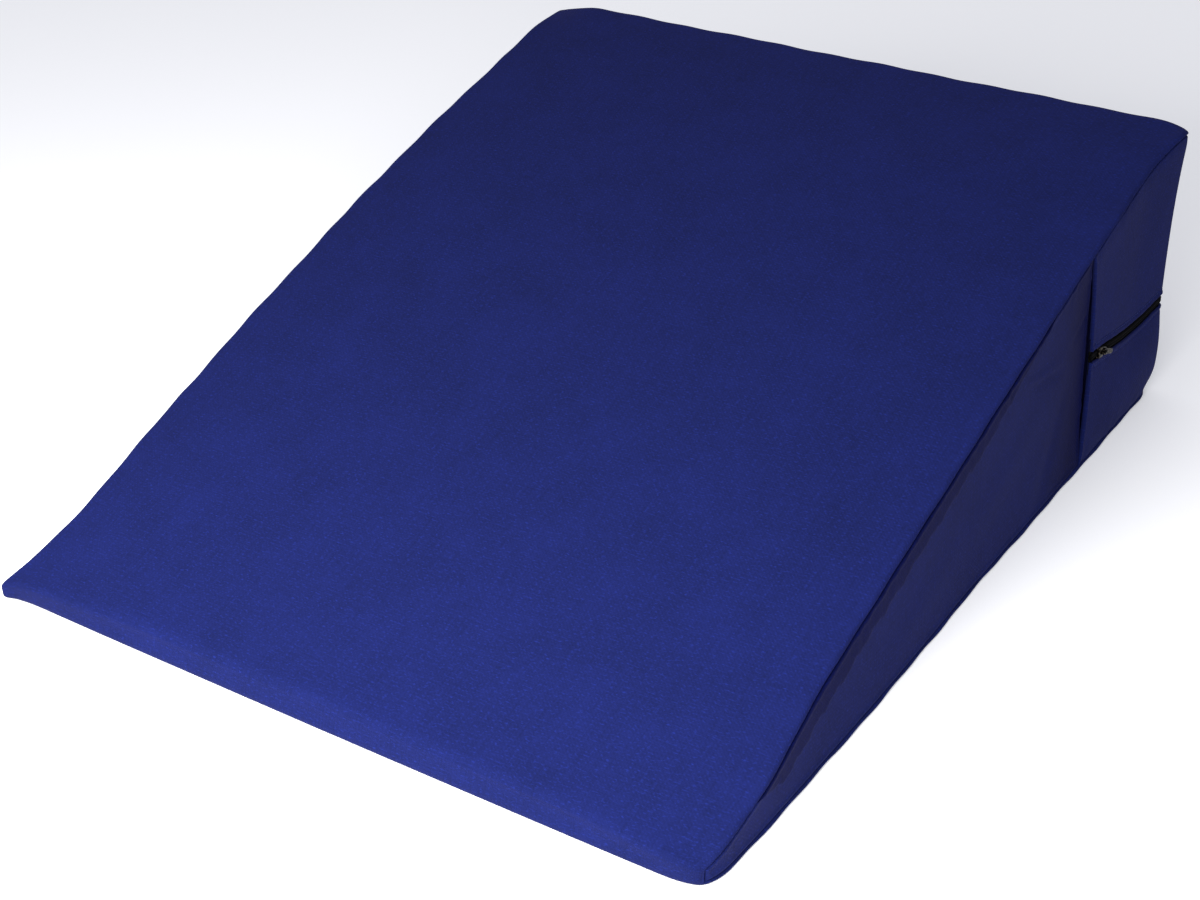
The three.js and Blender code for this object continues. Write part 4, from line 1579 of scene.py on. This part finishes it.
@dataclass
class Slider:
    """The zip's slider and its pull, parked at the right hand end."""

    start: float = 9 * MM
    length: float = 12.5 * MM
    shoulder: float = 5 * MM
    width: float = 7.4 * MM
    nose_width: float = 5 * MM
    flange: float = 1 * MM
    flange_lift: float = -0.7 * MM
    underside: float = 0.9 * MM
    top: float = 2.1 * MM
    edge: float = 0.35 * MM
    sharp_angle: float = 50
    bridge_start: float = 2.2 * MM
    bridge_length: float = 6 * MM
    bridge_width: float = 1.8 * MM
    bridge_height: float = 2.6 * MM
    bridge_thickness: float = 0.9 * MM
    bridge_crown: float = 1.6
    bridge_root: float = 0.2 * MM
    pull_length: float = 16 * MM
    pull_width: float = 4.4 * MM
    tip_width: float = 3.6 * MM
    pull_thickness: float = 1 * MM
    eye: float = 1.25 * MM
    tilt: float = -14.0
    gap: float = 0.3 * MM

    def soften(self, shape: bmesh.types.BMesh) -> None:
        """Rounds a shape's sharp edges a little."""
        least = math.radians(self.sharp_angle)
        sharp = [edge for edge in shape.edges if edge.is_manifold and edge.calc_face_angle() > least]
        bmesh.ops.bevel(
            shape,
            geom=sharp,
            offset=self.edge,
            segments=2,
            profile=0.5,
            affect="EDGES",
            material=-1,
            clamp_overlap=True,
        )

    def slab(
        self, shape: bmesh.types.BMesh, outline: Sequence[tuple[float, float]], low: float, high: float
    ) -> None:
        """Adds an upright slab of a given outline.

        Args:
            shape: The bmesh that it goes into.
            outline: Its corners, anticlockwise from above.
            low: The lift of its underside.
            high: The lift of its top.
        """
        verts = [shape.verts.new((x, y, low)) for x, y in outline]
        face = shape.faces.new(verts)
        made = bmesh.ops.extrude_face_region(shape, geom=[face])["geom"]
        bmesh.ops.translate(shape, vec=(0, 0, high - low), verts=verts_of(made))

    def body(self) -> bpy.types.Object:
        """Makes the slider: its plate, the flanges down both sides and the bridge."""
        half, nose = self.width / 2, self.nose_width / 2
        turn = [math.radians(angle) for angle in range(-90, 91, 20)]
        round_nose = [(self.length + nose * math.cos(a) - nose, nose * math.sin(a)) for a in turn]
        outline = [(0, -half), (self.shoulder, -half), *round_nose, (self.shoulder, half), (0, half)]
        shape = bmesh.new()
        self.slab(shape, outline, self.underside, self.top)
        for edge in (-1, 1):
            outer, inner = edge * half, edge * (half - self.flange)
            low_y, high_y = min(outer, inner), max(outer, inner)
            leg = [(0, low_y), (self.shoulder, low_y), (self.shoulder, high_y), (0, high_y)]
            self.slab(shape, leg, self.flange_lift, self.underside)
        bmesh.ops.recalc_face_normals(shape, faces=shape.faces)
        self.soften(shape)
        self.bridge(shape)
        bmesh.ops.translate(shape, vec=(self.start, ZIP.height, 0), verts=shape.verts)
        piece = new_piece("slider", shape)
        lay_on_band(piece)
        return piece

    def bridge(self, shape: bmesh.types.BMesh) -> None:
        """Adds the bridge that holds the pull, as a flat bar bent over an arch."""
        bar = bmesh.new()
        half, rise = self.bridge_width / 2, self.bridge_height - self.bridge_thickness
        thick = self.bridge_thickness
        corners = ((0, -half), (0, half), (thick, half), (thick, -half))
        face = bar.faces.new([bar.verts.new((x, y, 0)) for x, y in corners])
        made = bmesh.ops.extrude_face_region(bar, geom=[face])["geom"]
        bmesh.ops.translate(bar, vec=(0, 0, rise), verts=verts_of(made))
        top = next(item for item in made if isinstance(item, bmesh.types.BMFace))
        bmesh.ops.spin(
            bar,
            geom=[top, *top.edges, *top.verts],
            cent=(self.bridge_length / 2, 0, rise),
            axis=(0, 1, 0),
            angle=math.pi,
            steps=10,
            use_merge=False,
        )
        bmesh.ops.remove_doubles(bar, verts=bar.verts, dist=1e-6)
        flatten = thick * self.bridge_crown / (self.bridge_length / 2)
        for vert in bar.verts:
            if vert.co.z > rise:
                vert.co.z = rise + (vert.co.z - rise) * flatten
        bmesh.ops.recalc_face_normals(bar, faces=bar.faces)
        bmesh.ops.translate(bar, vec=(self.bridge_start, 0, self.top - self.bridge_root), verts=bar.verts)
        mesh = bpy.data.meshes.new("bridge")
        bar.to_mesh(mesh)
        bar.free()
        shape.from_mesh(mesh)
        bpy.data.meshes.remove(mesh)

    def pull(self) -> bpy.types.Object:
        """Makes the pull: a flat tab with an eye round the bridge, lying back along the zip."""
        half, tip = self.pull_width / 2, self.tip_width / 2
        far = self.pull_length - half - tip
        head = [math.radians(angle) for angle in range(90, 271, 15)]
        end = [math.radians(angle) for angle in range(-90, 91, 15)]
        outline = [(half * math.cos(a), half * math.sin(a)) for a in head]
        outline += [(far + tip * math.cos(a), tip * math.sin(a)) for a in end]
        shape = bmesh.new()
        outer = [shape.verts.new((x, y, 0)) for x, y in outline]
        rim = [shape.edges.new((outer[n - 1], outer[n])) for n in range(len(outer))]
        hole = bmesh.ops.create_circle(shape, segments=20, radius=self.eye)["verts"]
        inner_rim = list({edge for vert in hole for edge in vert.link_edges})
        bmesh.ops.triangle_fill(shape, use_beauty=True, edges=rim + inner_rim)
        made = bmesh.ops.extrude_face_region(shape, geom=list(shape.faces))["geom"]
        bmesh.ops.translate(shape, vec=(0, 0, self.pull_thickness), verts=verts_of(made))
        bmesh.ops.recalc_face_normals(shape, faces=shape.faces)
        self.soften(shape)
        at = self.start + self.bridge_start + self.bridge_length - self.bridge_thickness / 2
        turn_about(shape, "Z", self.tilt)
        bmesh.ops.translate(shape, vec=(at, ZIP.height, self.top + self.gap), verts=shape.verts)
        piece = new_piece("pull", shape)
        lay_on_band(piece)
        return piece

    def dress(self, finishes: Finishes) -> list[bpy.types.Object]:
        """Builds and dresses slider and pull.

        Args:
            finishes: The pillow's materials.

        Returns:
            The two pieces.
        """
        body, pull = self.body(), self.pull()
        dress(body, finishes.zinc, ["zip_slider"])
        dress(pull, finishes.zinc, ["zip_pull"])
        return [body, pull]


@dataclass
class Studio:
    """A pale floor, soft lights and the camera that the photograph was taken from."""

    camera_place: tuple[float, float, float] = (668.8 * MM, -989.6 * MM, 748.7 * MM)
    camera_turn: float = 34.57
    camera_tilt: float = 58.91
    camera_roll: float = -1.84
    lens: float = 63.04
    sensor: float = 36.0
    floor_size: float = 12.0
    floor_colour: str = "f7f7f8"
    floor_glow: float = 0.2
    floor_grain: float = 30.0
    sky_strength: float = 0.6
    key_power: float = 16.0
    key_place: tuple[float, float, float] = (0.03, -0.68, 0.47)
    key_aim: tuple[float, float, float] = (0.0, -0.25, 0.03)
    key_size: tuple[float, float] = (1.0, 0.3)

    def camera(self) -> None:
        """Sets the camera up."""
        data = bpy.data.cameras.new("camera")
        data.lens = self.lens
        data.sensor_width = self.sensor
        camera = bpy.data.objects.new("camera", data)
        turn = Matrix.Rotation(math.radians(self.camera_turn), 4, "Z")
        tilt = Matrix.Rotation(math.radians(self.camera_tilt), 4, "X")
        roll = Matrix.Rotation(math.radians(self.camera_roll), 4, "Z")
        camera.matrix_world = Matrix.Translation(self.camera_place) @ turn @ tilt @ roll
        bpy.context.scene.collection.objects.link(camera)
        bpy.context.scene.camera = camera

    def key_lamp(self) -> None:
        """Adds the wide, low box lamp in front, which the camera doesn't see."""
        data = bpy.data.lights.new("key", "AREA")
        data.shape = "RECTANGLE"
        data.size, data.size_y = self.key_size
        data.energy = self.key_power
        lamp = bpy.data.objects.new("key", data)
        lamp.visible_camera = False
        away = Vector(self.key_place) - Vector(self.key_aim)
        facing = away.to_track_quat("Z", "Y").to_matrix().to_4x4()
        lamp.matrix_world = Matrix.Translation(self.key_place) @ facing
        bpy.context.scene.collection.objects.link(lamp)

    def floor(self) -> None:
        """Lays the pale floor."""
        flat = bmesh.new()
        bmesh.ops.create_grid(flat, x_segments=1, y_segments=1, size=self.floor_size / 2)
        piece = new_piece("floor", flat)
        tree = new_material("painted_board")
        grain = tree.noise(tree.place(), self.floor_grain, 2.0)
        tree.finished(
            {
                "Base Color": colour(self.floor_colour),
                "Roughness": tree.remap(grain, (0.0, 1.0), (0.8, 0.9)),
                "Specular IOR Level": 0.1,
                "Emission Color": colour("ffffff"),
                "Emission Strength": self.floor_glow,
            }
        )
        piece.data.materials.append(tree.material)

    def sky(self) -> None:
        """Lights the room evenly."""
        world = bpy.data.worlds.new("studio")
        world.use_nodes = True
        background = world.node_tree.nodes["Background"]
        background.inputs["Color"].default_value = colour("f4f6ff")
        background.inputs["Strength"].default_value = self.sky_strength
        bpy.context.scene.world = world

    def build(self) -> None:
        """Sets up everything that isn't the pillow."""
        self.floor()
        self.sky()
        self.camera()
        self.key_lamp()
        view = bpy.context.scene.view_settings
        view.view_transform = "Standard"
        view.look = "None"


def main() -> None:
    """Builds the pillow piece by piece, and the studio round it."""
    logging.basicConfig(level=logging.INFO, format="%(message)s")
    Studio().build()
    finishes = Finishes()
    parts = [
        FilledCushion(),
        SidePanel(Side.RIGHT),
        SidePanel(Side.LEFT),
        ZipStrip(StripPlace.UPPER),
        ZipStrip(StripPlace.LOWER),
        ZipTapes(),
        ZipCoil(),
        StitchRows(),
        Slider(),
    ]
    for part in parts:
        for piece in part.dress(finishes):
            LOG.info("%s: %d faces", piece.name, len(piece.data.polygons))


if __name__ == "__main__":
    main()
